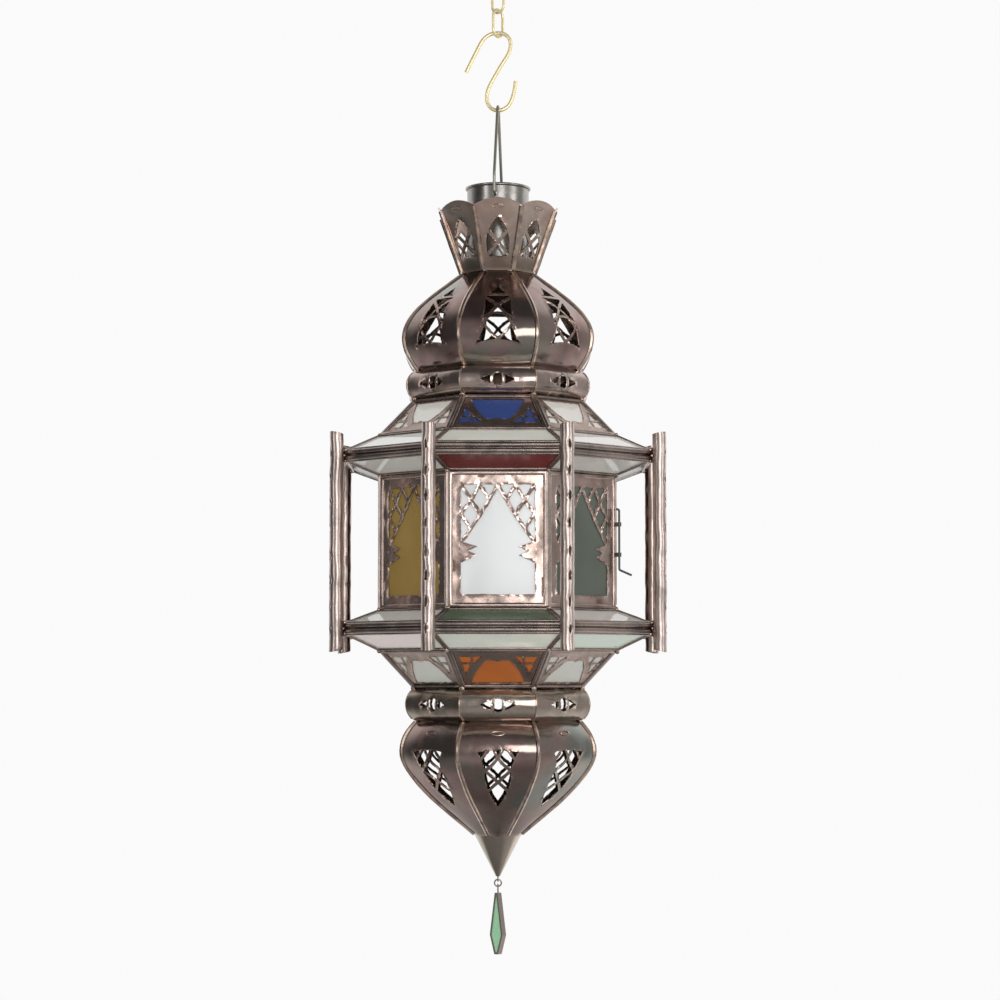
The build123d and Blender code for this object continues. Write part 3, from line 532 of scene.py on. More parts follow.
# The lower roof panes take the darker copy of the pale glass, a painted shade.
own_finishes = {"drum_panes_green": drum_green, "lower_roof_panes_clear": painted_shade_glass,
                "bail_wire": bail_grey, "door_catch": catch_dark, "catch_sleeves": catch_dark,
                "top_collar": collar_tin, "tip_cone": ring_olive, "pendant_frame": pendant_brown}
for subpart in frame["record"]["subparts"]:
    name = subpart["node"]
    coats = frame["nodes"][name].data.materials
    coats.clear()
    coats.append(own_finishes.get(name, finishes[subpart["material_slot"]]))
print(len(frame["nodes"]), "solids finished")

# %% [markdown]
# ## Copies round the axis
# Almost every piece is there eight times. One copy is drawn on the front face, and a Geometry Nodes tree
# sets the copies round the axis, then moves their points by a slow noise. The noise depends on place, so no
# two copies have the same dents, and neighbours still meet at their seam.

# %% A tree that repeats and dents a piece


def node_tree(name, numbers):
    """A geometry tree, a short call that adds a node to it, and its group's inputs and outputs."""
    tree = bpy.data.node_groups.new(name, "GeometryNodeTree")
    tree.interface.new_socket("Geometry", in_out="INPUT", socket_type="NodeSocketGeometry")
    for label, kind in numbers:
        tree.interface.new_socket(label, in_out="INPUT", socket_type="NodeSocket" + kind)
    tree.interface.new_socket("Geometry", in_out="OUTPUT", socket_type="NodeSocketGeometry")
    given, result = tree.nodes.new("NodeGroupInput").outputs, tree.nodes.new("NodeGroupOutput").inputs
    return tree, partial(wired, tree), given, result


DENT_DETAIL = 1.5
copies_tree, add, given, result = node_tree("copies round the axis", [
    ("Copies", "Int"), ("Turn", "Float"), ("First turn", "Float"), ("Dent depth", "Float"),
    ("Dents per metre", "Float"), ("Seed", "Float"), ("Finish", "Material")])
spots = add("GeometryNodePoints", Count=given["Copies"])
turn = add("ShaderNodeMath", "MULTIPLY_ADD", _0=add("GeometryNodeInputIndex").outputs[0], _1=given["Turn"],
           _2=given["First turn"])
spin = add("FunctionNodeEulerToRotation", Euler=add("ShaderNodeCombineXYZ", Z=turn.outputs[0]).outputs[0])
copies = add("GeometryNodeInstanceOnPoints", Points=spots.outputs[0], Instance=given["Geometry"],
             Rotation=spin.outputs[0])
real = add("GeometryNodeRealizeInstances", Geometry=copies.outputs[0])
cloud = add("ShaderNodeTexNoise", None, [("noise_dimensions", "4D")], W=given["Seed"], Detail=DENT_DETAIL,
            Scale=given["Dents per metre"], Vector=add("GeometryNodeInputPosition").outputs[0])
centred = add("ShaderNodeVectorMath", "SUBTRACT", _0=cloud.outputs["Color"], _1=(0.5, 0.5, 0.5))
dented = add("ShaderNodeVectorMath", "SCALE", _0=centred.outputs[0], Scale=given["Dent depth"])
moved = add("GeometryNodeSetPosition", Geometry=real.outputs[0], Offset=dented.outputs[0])
painted = add("GeometryNodeSetMaterial", Geometry=moved.outputs[0], Material=given["Finish"])
copies_tree.links.new(painted.outputs[0], result["Geometry"])
print("copies tree has", len(copies_tree.nodes), "nodes")

# %% [markdown]
# ## From a pattern to a piece
# The tree goes on a pattern as a modifier, and the result is kept as one plain mesh, so that it exports as
# it looks. Each piece then says which body it moves with and which solids it stands for.

# %% Using a tree


def use_tree(pattern, tree, **values):
    """Put a tree on a pattern as a modifier and set its named inputs by their identifiers."""
    modifier = pattern.modifiers.new(tree.name, "NODES")
    modifier.node_group = tree
    identifiers = {item.name: item.identifier for item in tree.interface.items_tree if item.in_out == "INPUT"}
    for label, value in values.items():
        modifier[identifiers[label.replace("_", " ")]] = value


def add_object(name, points, faces, edges=()):
    """A mesh object at the origin, its place in its mesh."""
    mesh = bpy.data.meshes.new(name)
    mesh.from_pydata([tuple(p) for p in points], list(edges), list(faces))
    thing = bpy.data.objects.new(name, mesh)
    scene.collection.objects.link(thing)
    return thing


SHARP_OVER = math.radians(42)


def all_round(pattern, name, finish, slot, *nodes, body="lantern", copies=SIDES, first=0, every=1,
              dent=0.0, dent_width=15.0, seed=0.0):
    """Copies of a pattern round the axis as one piece, in place of these solids. First and every are
    counted in faces, dent and dent_width in millimetres."""
    use_tree(pattern, copies_tree, Copies=copies, Turn=every * STEP, First_turn=first * STEP,
             Dent_depth=2 * dent * MM, Dents_per_metre=1000 / dent_width, Seed=seed, Finish=finish)
    ready = pattern.evaluated_get(bpy.context.evaluated_depsgraph_get())
    mesh = bpy.data.meshes.new_from_object(ready)
    mesh.name = name
    mesh.shade_smooth()
    mesh.set_sharp_from_angle(angle=SHARP_OVER)
    bpy.data.objects.remove(pattern)
    piece = bpy.data.objects.new(name, mesh)
    scene.collection.objects.link(piece)
    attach(piece, body)
    if nodes:
        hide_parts(*nodes)
    print(name, len(mesh.polygons), "faces")


print("inputs of the copies tree:", [label for label in given.keys() if label])

# %% [markdown]
# ## Drawing pierced sheets
# A pierced sheet starts flat: an outline, the openings cut out of it, and the bars that were left standing
# in an opening. A constrained triangulation of all these lines and a fine grid tells for every little
# triangle which shapes hold it, so the metal is simply what lies in the outline, and in no opening or in a
# bar. The flat sheet is then laid on its curved or sloping place, the cut edges are raised a little as a
# chisel leaves them, and Solidify and Bevel give thickness and a worn edge.

# %% Curves


def arc(first, middle, last, steps=8):
    """Points on the arc through three points."""
    (x1, y1), (x2, y2), (x3, y3) = first, middle, last
    double = 2 * (x1 * (y2 - y3) + x2 * (y3 - y1) + x3 * (y1 - y2))
    s1, s2, s3 = x1 * x1 + y1 * y1, x2 * x2 + y2 * y2, x3 * x3 + y3 * y3
    cx = (s1 * (y2 - y3) + s2 * (y3 - y1) + s3 * (y1 - y2)) / double
    cy = (s1 * (x3 - x2) + s2 * (x1 - x3) + s3 * (x2 - x1)) / double
    start = math.atan2(y1 - cy, x1 - cx)
    sweep_middle = (math.atan2(y2 - cy, x2 - cx) - start) % (2 * math.pi)
    sweep = (math.atan2(y3 - cy, x3 - cx) - start) % (2 * math.pi)
    if sweep_middle > sweep:
        sweep -= 2 * math.pi
    radius = math.hypot(x1 - cx, y1 - cy)
    turns = [start + sweep * k / steps for k in range(steps + 1)]
    return [(cx + radius * math.cos(t), cy + radius * math.sin(t)) for t in turns]


def both_sides(right):
    """A closed loop from its right half, listed from one end of the mirror line to the other."""
    return right + [(-x, y) for x, y in reversed(right) if abs(x) > 1e-6]


def mirrored(*loops):
    """Loops together with their mirror images."""
    return [*loops, *[[(-x, y) for x, y in loop] for loop in loops]]


print("an arc has", len(arc((0, 1), (0.7, 0.7), (1, 0))), "points")

# %% Bars and hand-cut lines


def bar(points, width):
    """A strip of even width along a line of points."""
    left, right = [], []
    for k, (x, y) in enumerate(points):
        x0, y0 = points[max(k - 1, 0)]
        x1, y1 = points[min(k + 1, len(points) - 1)]
        run = math.hypot(x1 - x0, y1 - y0)
        dx, dy = -(y1 - y0) / run * width / 2, (x1 - x0) / run * width / 2
        left.append((x + dx, y + dy))
        right.append((x - dx, y - dy))
    return left + right[::-1]


def bowed_bar(first, middle, last, width):
    """A strip along the arc through three points."""
    return bar(arc(first, middle, last), width)


# A fixed seed gives the same cuts every time.
noise.seed_set(5)
CUT_LAYER = 3.7
CUT_WAVES = 0.45


def hand_cut(loop, step=2.6, waver=0.45):
    """A loop cut by hand: its sides in short steps that waver."""
    cut = []
    for (x0, y0), (x1, y1) in zip(loop, loop[1:] + loop[:1]):
        count = max(1, round(math.hypot(x1 - x0, y1 - y0) / step))
        for k in range(count):
            x, y = x0 + (x1 - x0) * k / count, y0 + (y1 - y0) * k / count
            drift = noise.noise_vector(Vector((x, y, CUT_LAYER)) * CUT_WAVES)
            cut.append((x + waver * drift.x, y + waver * drift.y))
    return cut


print("a hand-cut square has", len(hand_cut([(0, 0), (10, 0), (10, 10), (0, 10)])), "points")

# %% What is left of a sheet


def turned_left(loop):
    """The loop listed anticlockwise, as the triangulation wants it."""
    area = sum(x0 * y1 - x1 * y0 for (x0, y0), (x1, y1) in zip(loop, loop[1:] + loop[:1]))
    return loop if area > 0 else loop[::-1]


def metal_left(outline, holes, bars, cell):
    """Points and triangles of the metal left in an outline; grid lines keep the triangles small."""
    points, loops, edges = [], [], []
    for loop in (outline, *holes, *bars):
        loops.append(list(range(len(points), len(points) + len(loop))))
        points += [Vector(p) for p in turned_left(loop)]
    for axis in (0, 1):
        low, high = min(p[axis] for p in outline), max(p[axis] for p in outline)
        other_low, other_high = min(p[1 - axis] for p in outline), max(p[1 - axis] for p in outline)
        count = math.ceil((high - low) / cell)
        for line in range(1, count):
            value = low + (high - low) * line / count
            ends = [(value, other_low - 1), (value, other_high + 1)]
            edges.append((len(points), len(points) + 1))
            points += [Vector(p if axis == 0 else p[::-1]) for p in ends]
    flat, _, triangles, _, _, owners = delaunay_2d_cdt(points, edges, loops, 0, 1e-4)
    last_hole = len(holes)
    in_hole = [any(0 < o <= last_hole for o in owner) for owner in owners]
    in_bar = [any(o > last_hole for o in owner) for owner in owners]
    return flat, [triangle for triangle, owner, hole, strip in zip(triangles, owners, in_hole, in_bar)
                  if 0 in owner and (strip or not hole)]


square, small = [(0, 0), (10, 0), (10, 10), (0, 10)], [(4, 4), (6, 4), (6, 6), (4, 6)]
print("a square with a hole keeps", len(metal_left(square, [small], [], 5)[1]), "triangles")

# %% A pierced sheet
WORN_RIM, WORN_HOLE = 0.6, 0.45
EDGE_WIDTH = 0.22
EDGE_OVER = math.radians(50)
ON_EDGE = 0.05
BURR_LEAST = 0.6
BURR_WAVES = 0.5


def distance_to(loop, x, y):
    """How far a point is from a closed loop's line."""
    best = 1e9
    for (x0, y0), (x1, y1) in zip(loop, loop[1:] + loop[:1]):
        dx, dy = x1 - x0, y1 - y0
        share = max(0, min(1, ((x - x0) * dx + (y - y0) * dy) / (dx * dx + dy * dy + 1e-12)))
        best = min(best, math.hypot(x - x0 - share * dx, y - y0 - share * dy))
    return best


def pierced_sheet(name, outline, holes, bars, lay, cell=2.5, thickness=0.8, burr=0.3):
    """A sheet with openings and bars; lay(u, v, w) puts a flat point in the frame, w millimetres proud."""
    flat, metal = metal_left(outline, holes, bars, cell)
    used = sorted({k for triangle in metal for k in triangle})
    mesh = bmesh.new()
    corners = {k: mesh.verts.new((*flat[k], 0)) for k in used}
    for triangle in metal:
        mesh.faces.new([corners[k] for k in triangle])
    bmesh.ops.join_triangles(mesh, faces=mesh.faces[:], angle_face_threshold=0.1, angle_shape_threshold=1.3)
    worn = mesh.verts.layers.float.new("worn")
    for corner in mesh.verts:
        u, v, _ = corner.co
        proud = 0.0
        if corner.is_boundary:
            on_hole = distance_to(outline, u, v) > ON_EDGE
            corner[worn] = WORN_HOLE if on_hole else WORN_RIM
            uneven = BURR_LEAST + noise.noise(Vector((u, v, len(name))) * BURR_WAVES)
            proud = burr * uneven if on_hole else 0.0
        corner.co = lay(u, v, proud)
    sheet = add_object(name + " pattern", [], [])
    mesh.to_mesh(sheet.data)
    mesh.free()
    solid = sheet.modifiers.new("thickness", "SOLIDIFY")
    solid.thickness = thickness * MM
    solid.offset = -1
    edge = sheet.modifiers.new("worn edge", "BEVEL")
    edge.width = EDGE_WIDTH * MM
    edge.segments = 1
    edge.limit_method = "ANGLE"
    edge.angle_limit = EDGE_OVER
    print(name, "cut from", len(metal), "triangles")
    return sheet


# %% [markdown]
# ## Domes
# The domes are eight curved gores. Each was cut from flat sheet, pierced, bent over a former and soldered
# to its neighbours along a raised seam. The outline of a gore comes from the dome's own line: at every
# height its half width is the corner radius times the sine of half a step. A slight crown across each gore
# makes the reflections slide as they do on hand-bent sheet.

# %% Lines of the domes
UPPER_DOME = [(26.5, 201.5), (45.9, 187.4), (59.5, 176.4), (69.6, 165.4), (75.0, 151.0), (72.0, 139.2),
              (62.6, 125.5)]
LOWER_DOME = [(62.5, -127.5), (71.6, -137.6), (76.2, -151.2), (66.3, -170.6), (53.1, -184.2),
              (36.7, -197.8), (15.0, -215.0)]


def smooth_line(points):
    """Radius as a function of height along a natural cubic spline through (radius, height) points."""
    known = np.array(points, float)
    span = np.hypot(*np.diff(known, axis=0).T)
    count = len(known)
    matrix = np.eye(count)
    right = np.zeros((count, 2))
    for k in range(1, count - 1):
        matrix[k, k - 1:k + 2] = span[k - 1], 2 * (span[k - 1] + span[k]), span[k]
        right[k] = 6 * ((known[k + 1] - known[k]) / span[k] - (known[k] - known[k - 1]) / span[k - 1])
    bend = np.linalg.solve(matrix, right)
    line = []
    for k in range(count - 1):
        for t in np.linspace(0, span[k], 30):
            a, b = span[k] - t, t
            line.append((bend[k] * a ** 3 + bend[k + 1] * b ** 3) / (6 * span[k])
                        + (known[k] / span[k] - bend[k] * span[k] / 6) * a
                        + (known[k + 1] / span[k] - bend[k + 1] * span[k] / 6) * b)
    line = np.array(sorted(line, key=lambda p: p[1]))
    return lambda height: float(np.interp(height, line[:, 1], line[:, 0]))


upper_dome = smooth_line(UPPER_DOME)
lower_dome = smooth_line(LOWER_DOME)
print("dome radii at the belly", round(upper_dome(151), 2), round(lower_dome(-151), 2))

# %% Upper dome


def on_gore(line, crown=1.2):
    """Lays a sheet drawn in the front view on the front gore of a dome."""
    def lay(x, z, proud):
        radius = line(z)
        slope = (line(z + 0.5) - line(z - 0.5)) * COS_HALF
        out = proud + crown * max(0.0, 1 - (x / (radius * SIN_HALF)) ** 2)
        steep = math.hypot(1, slope)
        return place(x, -radius * COS_HALF - out / steep, z - out * slope / steep)
    return lay


def gore_outline(line, low, high, steps=26):
    """A gore's outline in the front view, between two heights."""
    heights = [low + (high - low) * k / steps for k in range(steps + 1)]
    return both_sides([(line(z) * SIN_HALF, z) for z in heights])


def gores(level, line, low, high, motif, bars, seed):
    """The eight gores of a dome, pierced by a motif that bars cross."""
    sheet = pierced_sheet(level + " gores", gore_outline(line, low, high), [motif], bars, on_gore(line))
    all_round(sheet, level + "_gores", dark_sheet, "dark_sheet", level + "_dome_gores", dent=0.45,
              dent_width=24, seed=seed)


upper_motif = both_sides(arc((0, 187.0), (3.4, 181.8), (9.2, 177.0))
                         + arc((9.2, 177.0), (9.6, 168.0), (11.6, 160.0))[1:]
                         + arc((11.6, 160.0), (12.8, 150.5), (16.0, 142.0))[1:]
                         + arc((16.0, 142.0), (8.0, 144.0), (0, 144.8))[1:])
upper_bars = [bar([(-12, 178.4), (12, 178.4)], 1.5),
              bowed_bar((-13.0, 158.0), (0, 163.4), (13.0, 158.0), 1.8),
              *mirrored(bowed_bar((-12.0, 177.4), (3.6, 165.4), (14.5, 144.5), 1.8),
                        bowed_bar((-14.0, 161.5), (-6.0, 150.4), (6.0, 141.0), 1.8))]
gores("upper", upper_dome, low=126.3, high=200.4, motif=upper_motif, bars=upper_bars, seed=1)

# %% Lower dome
lower_motif = both_sides(arc((0, -149.6), (7.4, -149.9), (14.8, -151.0))
                         + arc((14.8, -151.0), (11.4, -157.0), (9.8, -165.0))[1:]
                         + arc((9.8, -165.0), (7.6, -176.5), (0, -189.7))[1:])
lower_bars = mirrored(bowed_bar((-14.0, -166.0), (-4.0, -159.4), (4.0, -147.5), 1.9),
                      bowed_bar((-15.0, -158.6), (-2.6, -169.4), (10.0, -181.0), 1.9),
                      bowed_bar((-15.0, -157.6), (-9.6, -152.8), (-6.0, -147.5), 1.9))
gores("lower", lower_dome, low=-212.6, high=-129.1, motif=lower_motif, bars=lower_bars, seed=2)

# %% [markdown]
# ## Ring bands
# Between each dome and the body sits a band of eight short segments that bulge outwards, each with an
# eye-shaped opening crossed by two curved bars. At its top and foot the sheet turns inwards as a narrow
# ledge, which closes the gap to the dome and the roof. A segment is drawn flat together with its ledges and
# then laid on an arc, so one drawing gives them all.

# %% The form of a ring band
RING_EDGE = 66.0
RING_BELLY = 72.6
LEDGE = 7.0


def bulge_line(low, high):
    """Radius of a ring band as a function of height."""
    rise, half = RING_BELLY - RING_EDGE, (high - low) / 2
    radius = (rise * rise + half * half) / (2 * rise)
    middle = (low + high) / 2
    return lambda height: RING_BELLY - radius + math.sqrt(max(radius ** 2 - (height - middle) ** 2, 0))


def on_ring(low, high):
    """Lays a sheet on a ring band; beyond the two edges the sheet turns inwards as a flat ledge."""
    gore = on_gore(bulge_line(low, high), 0.5)

    def lay(x, z, proud):
        if low <= z <= high:
            return gore(x, z, proud)
        inwards = max(z - high, low - z)
        return place(x, -RING_EDGE * COS_HALF + inwards, min(max(z, low), high))
    return lay


def ring_outline(low, high):
    """A segment's outline in the front view, with its two ledges."""
    middle = gore_outline(bulge_line(low, high), low, high, 10)
    half = RING_EDGE * SIN_HALF - LEDGE * TAN_HALF
    count = len(middle) // 2
    upper_ledge = [(half, high + LEDGE), (-half, high + LEDGE)]
    lower_ledge = [(-half, low - LEDGE), (half, low - LEDGE)]
    return middle[:count] + upper_ledge + middle[count:] + lower_ledge


print("a ring band bulges by", round(RING_BELLY - RING_EDGE, 1), "mm")

# %% Ring bands


def ring_band(level, low, high, finish, dent, seed):
    """The eight segments of a ring band between two heights."""
    middle = (low + high) / 2
    eye = both_sides(arc((0, middle - 4.8), (6.6, middle - 2.9), (13.0, middle))
                     + arc((13.0, middle), (6.6, middle + 2.9), (0, middle + 4.8))[1:])
    bars = mirrored(bowed_bar((-1.6, middle - 7.5), (-4.5, middle), (-1.6, middle + 7.5), 1.7))
    name = level + "_ring_band"
    sheet = pierced_sheet(name, ring_outline(low, high), [eye], bars, on_ring(low, high), burr=0.35)
    all_round(sheet, name, finish, "dark_sheet", level + "_ring_segments", dent=dent, dent_width=20, seed=seed)


ROOF_TOP = (66.5, 105.7)
UPPER_TALL, LOWER_TALL = 20.6, 23.4
UPPER_RING = (ROOF_TOP[1], ROOF_TOP[1] + UPPER_TALL)
LOWER_RING = (-ROOF_TOP[1] - LOWER_TALL, -ROOF_TOP[1])
ring_band("upper", *UPPER_RING, ring_copper, dent=1.0, seed=3)
ring_band("lower", *LOWER_RING, ring_olive, dent=0.6, seed=4)

# %% [markdown]
# ## Panels of the body
# The crown petals, the roof sheets and the sheets over the drum are flat, so one little class can place a
# drawing on any of them: u runs along the panel, v up its slope from the middle, and w stands proud of it.

# %% A flat panel


class Panel:
    """The front panel of a tier, from the corner radius and height of its upper and lower edges."""

    def __init__(self, top, foot):
        self.top, self.foot = top, foot
        self.high = place(0, -top[0] * COS_HALF, top[1])
        self.low = place(0, -foot[0] * COS_HALF, foot[1])
        self.length = (self.high - self.low).length / MM
        self.up = (self.high - self.low).normalized()
        self.out = Vector((1, 0, 0)).cross(self.up)
        self.lean = (top[0] - foot[0]) * SIN_HALF / self.length

    def half_width(self, v):
        """Half of the panel's width at a height up its slope."""
        share = 0.5 + v / self.length
        return (self.foot[0] + (self.top[0] - self.foot[0]) * share) * SIN_HALF

    def point(self, u, v, w):
        """A point of the panel in the frame."""
        middle = (self.high + self.low) / 2
        return middle + (Vector((u, 0, 0)) + self.up * v + self.out * w) * MM

    def corners(self, inset, trim=0.0):
        """The panel's outline drawn in, and further at top and foot by a trim."""
        high = self.length / 2 - inset - trim
        side = inset * math.hypot(1, self.lean)
        wide_top, wide_foot = self.half_width(high) - side, self.half_width(-high) - side
        return [(-wide_foot, -high), (wide_foot, -high), (wide_top, high), (-wide_top, high)]

    def sunk(self, depth):
        """Lays a sheet on the panel, its outer face at a depth."""
        return lambda u, v, w: self.point(u, v, w - depth)


print("calls of a panel:", [call for call in vars(Panel) if not call.startswith("_")])

# %% Panels of the tiers
ROOF_FOOT = (93.5, 78.4)
RIM_TOP = (119.8, 66.7)
RIM_FOOT = (119.8, 58.5)
DRUM_TOP = (93.0, 48.8)


def below(edge):
    """The mirror image of an edge, under the middle of the drum."""
    return (edge[0], -edge[1])


panels = {
    "upper_roof": Panel(ROOF_TOP, ROOF_FOOT), "upper_eave": Panel(ROOF_FOOT, RIM_TOP),
    "upper_soffit": Panel(RIM_FOOT, DRUM_TOP), "drum": Panel(DRUM_TOP, below(DRUM_TOP)),
    "lower_soffit": Panel(below(DRUM_TOP), below(RIM_FOOT)),
    "lower_eave": Panel(below(RIM_TOP), below(ROOF_FOOT)),
    "lower_roof": Panel(below(ROOF_FOOT), below(ROOF_TOP)),
}
drum = panels["drum"]
print("drum panel", round(2 * drum.half_width(0), 1), "by", round(drum.length, 1), "mm")

# %% [markdown]
# ## Crown petals
# The crown is a ring of eight flared petals with rounded tips, each pierced by a pointed opening that two
# bars cross. A petal is almost flat, so it is drawn on a panel, then bowed a little across and flared
# towards its tip. Only a real bend catches the light as the petals do, so a bump in the finish would not be
# enough.

# %% Crown petals
CROWN_TOP = (46.0, 247.0)
CROWN_FOOT = (28.7, 201.4)
PETAL_BOW = 0.7
PETAL_FLARE = 1.2
PETAL_SINK = 0.3
crown = Panel(CROWN_TOP, CROWN_FOOT)
tip = crown.length / 2
wide = crown.half_width(tip)
petal = both_sides([(0, -tip), (crown.half_width(-tip), -tip), (wide, tip)]
                   + arc((wide, tip), (wide * 0.6, tip + 3.6), (0, tip + 5.5))[1:])
petal_motif = both_sides([(0, 10.4 - tip)] + arc((7.4, 10.4 - tip), (8.7, 20.0 - tip), (7.2, 29.5 - tip))
                         + arc((7.2, 29.5 - tip), (4.0, 35.6 - tip), (0, 40.0 - tip))[1:])
petal_bars = mirrored(bowed_bar((-10.0, 32.0 - tip), (-1.6, 23.0 - tip), (9.4, 9.0 - tip), 2.3))


def on_petal(u, v, w):
    """Petals bow a little outwards across and flare towards the top."""
    across = u / (crown.half_width(min(v, tip)) + 0.01)
    flare = PETAL_FLARE * ((v + tip) / (2 * tip) - 0.5) ** 2
    return crown.point(u, v, w + PETAL_BOW * (1 - across * across) + flare - PETAL_SINK)


petal_sheet = pierced_sheet("petals", petal, [petal_motif], petal_bars, on_petal)
all_round(petal_sheet, "petals", petal_copper_and_highlight, "dark_sheet", "crown_petals", dent=0.45, dent_width=20, seed=5)

# %% [markdown]
# ## Sheets over the roofs
# A thin sheet lies over every roof pane: an arch between two pierced corners. A chisel leaves the openings
# uneven, so their lines waver by a noise before the sheet is cut. The two roofs wear the same drawing, one
# upside down.

# %% Sheets over the roofs
CAME = 3.6
TUCK = 0.3
SINK = 0.6
OVERLAY_THICKNESS = 0.6


def roof_sheet(level, upside, seed):
    """An arch between two pierced corners; its crown points to the eave."""
    panel = panels[level + "_roof"]
    narrow = panel.length / 2 - CAME

    def drawn(loop):
        """A loop of the drawing, moved to the panel and turned for its roof."""
        return [(u, (v - narrow) * upside) for u, v in loop]

    arch = both_sides([(0, 1.4)] + arc((19.2, 1.4), (15.6, 11.4), (8.8, 22.4))
                      + arc((8.8, 22.4), (4.6, 22.8), (0, 21.8))[1:])
    corner = [(11.2, 26.2), (28.2, 26.2)] + arc((22.6, 9.8), (18.4, 17.2), (11.2, 26.2))[:-1]
    strips = mirrored(bowed_bar((29.0, 18.4), (20.5, 19.6), (13.0, 17.0), 1.3),
                      bowed_bar((18.8, 28.0), (18.4, 21.0), (20.4, 13.0), 1.3))
    openings = [drawn(hand_cut(loop)) for loop in (arch, *mirrored(corner))]
    sheet = pierced_sheet(level + " roof sheet", panel.corners(CAME - TUCK), openings,
                          [drawn(strip) for strip in strips], panel.sunk(SINK), thickness=OVERLAY_THICKNESS)
    # The roof sheets take the darker copy of the overlay sheet, a painted shade.
    all_round(sheet, level + "_roof_sheets", shaded_roof_metal, "overlay_metal", level + "_roof_overlays", dent=0.3,
              dent_width=9, seed=seed)


roof_sheet("upper", upside=-1, seed=6)
roof_sheet("lower", upside=1, seed=7)

# %% [markdown]
# ## Sheets over the drum and the door
# Each drum pane shows through a tall opening under a pointed lattice, with a double thorn on each side. The
# lattice bars are strips between the points of a slanting grid, so the pattern is a short list. The door
# has the same sheet, cut shorter at top and foot to leave room for its lintel and sill.

# %% Sheets over the drum and the door
OPENING_HALF, OPENING_TOP, OPENING_FOOT = 26.3, 38.6, -39.3
LATTICE_BAR = 2.3
LATTICE_SLOPE = 0.535
RAIL_BOW = (0.7, 0.6)
DOOR_FACE = 2
DOOR_GAP = 0.3
DOOR_HALF = 46.0
DOOR_TRIM = drum.length / 2 - DOOR_HALF


def drum_sheet(name, node, body, trim, gap, copies, first, seed):
    """A tall opening under a pointed lattice, with a double thorn on each side."""
    half, top, foot = OPENING_HALF, OPENING_TOP - trim, OPENING_FOOT + trim
    slope = (top - foot) * LATTICE_SLOPE / half
    opening = hand_cut([(-half, foot), (half, foot), (half, top), (-half, top)])

    def rail(u0, v0, u1, v1):
        """A lattice bar from one grid point to another, bowed a little towards the middle line."""
        first, last = (u0 * half, top - v0 * slope * half), (u1 * half, top - v1 * slope * half)
        middle = ((first[0] + last[0]) / 2 + RAIL_BOW[0], (first[1] + last[1]) / 2 - RAIL_BOW[1])
        return hand_cut(bowed_bar(first, middle, last, LATTICE_BAR), 3.0, 0.5)

    thorn = [(-half - 1, -1.6), (-14.4, -5.4), (-21.4, -8.6), (-14.8, -11.6), (-half - 1, -17.0)]
    bars = mirrored(rail(0, 0, -1, 1), rail(-0.5, 0, -1, 0.5), rail(-1, 0, -0.5, 0.5),
                    rail(-0.5, 0, -0.25, 0.25), rail(-1, 0.5, -0.75, 0.75), hand_cut(thorn, 3.0, 0.4))
    sheet = pierced_sheet(name, drum.corners(CAME - TUCK + gap, trim), [opening], bars, drum.sunk(SINK),
                          thickness=OVERLAY_THICKNESS, burr=0.45)
    all_round(sheet, name, overlay_metal, "overlay_metal", node, body=body, copies=copies, first=first,
              dent=0.5, dent_width=8, seed=seed)


drum_sheet("drum_sheets", "drum_overlays", "lantern", trim=0, gap=0, copies=SIDES - 1,
           first=DOOR_FACE + 1, seed=8)
drum_sheet("door_sheet", "door_overlay", "door", trim=DOOR_TRIM, gap=DOOR_GAP, copies=1,
           first=DOOR_FACE, seed=9)

# %% [markdown]
# ## Came strips
# Each pane sits in a frame of folded strip whose face is rounded, so two ribs with a dark groove between
# them run along every edge of the body. A frame is a closed section drawn round the panel's four sides with
# mitred corners. A profile along a curve would come out too thin at the corners, so the points are
# computed.

# %% A frame of came strip
RIB_FOOT = -0.4
RIB_RISE = 1.0
CAME_STEP = -1.2
CAME_BACK = -3.6
CAME_LIP = -3.7


def came_section(width):
    """The strip's section as (inset from the panel's edge, height over its face), round face first."""
    half = width / 2 - 0.05
    rib = [(width / 2 + half * math.cos(a), RIB_FOOT + RIB_RISE * math.sin(a))
           for a in np.linspace(math.pi, 0, 8)]
    return rib + [(width, CAME_STEP), (width, CAME_BACK), (max(width - 1.9, 1.7), CAME_LIP)]


def came_frame(name, panel, width, gap=0.0, trim=0.0, steps=10):
    """The strip swept round a panel's four sides, each side in several steps so that it can be dented."""
    points, faces = [], []
    section = came_section(width)
    for inset, height in section:
        corners = panel.corners(inset + gap, trim)
        for (u0, v0), (u1, v1) in zip(corners, corners[1:] + corners[:1]):
            points += [panel.point(u0 + (u1 - u0) * k / steps, v0 + (v1 - v0) * k / steps, height)
                       for k in range(steps)]
    ring = 4 * steps
    for i in range(len(section)):
        j = (i + 1) % len(section)
        faces += [(i * ring + k, i * ring + (k + 1) % ring, j * ring + (k + 1) % ring, j * ring + k)
                  for k in range(ring)]
    return add_object(name + " pattern", points, faces)


print("a strip's section has", len(came_section(CAME)), "points")

# %% Frames of all tiers
THIN_CAME = 2.0
ROOF_CAME = 3.0
tier_cames = {"upper_roof": ROOF_CAME, "upper_eave": THIN_CAME, "upper_soffit": THIN_CAME,
              "lower_soffit": THIN_CAME, "lower_eave": THIN_CAME, "lower_roof": ROOF_CAME}
for seed, (tier, width) in enumerate(tier_cames.items()):
    all_round(came_frame(tier, panels[tier], width), tier + "_cames", came_metal, "came_metal",
              tier + "_frames", dent=0.16, dent_width=10, seed=20 + seed)
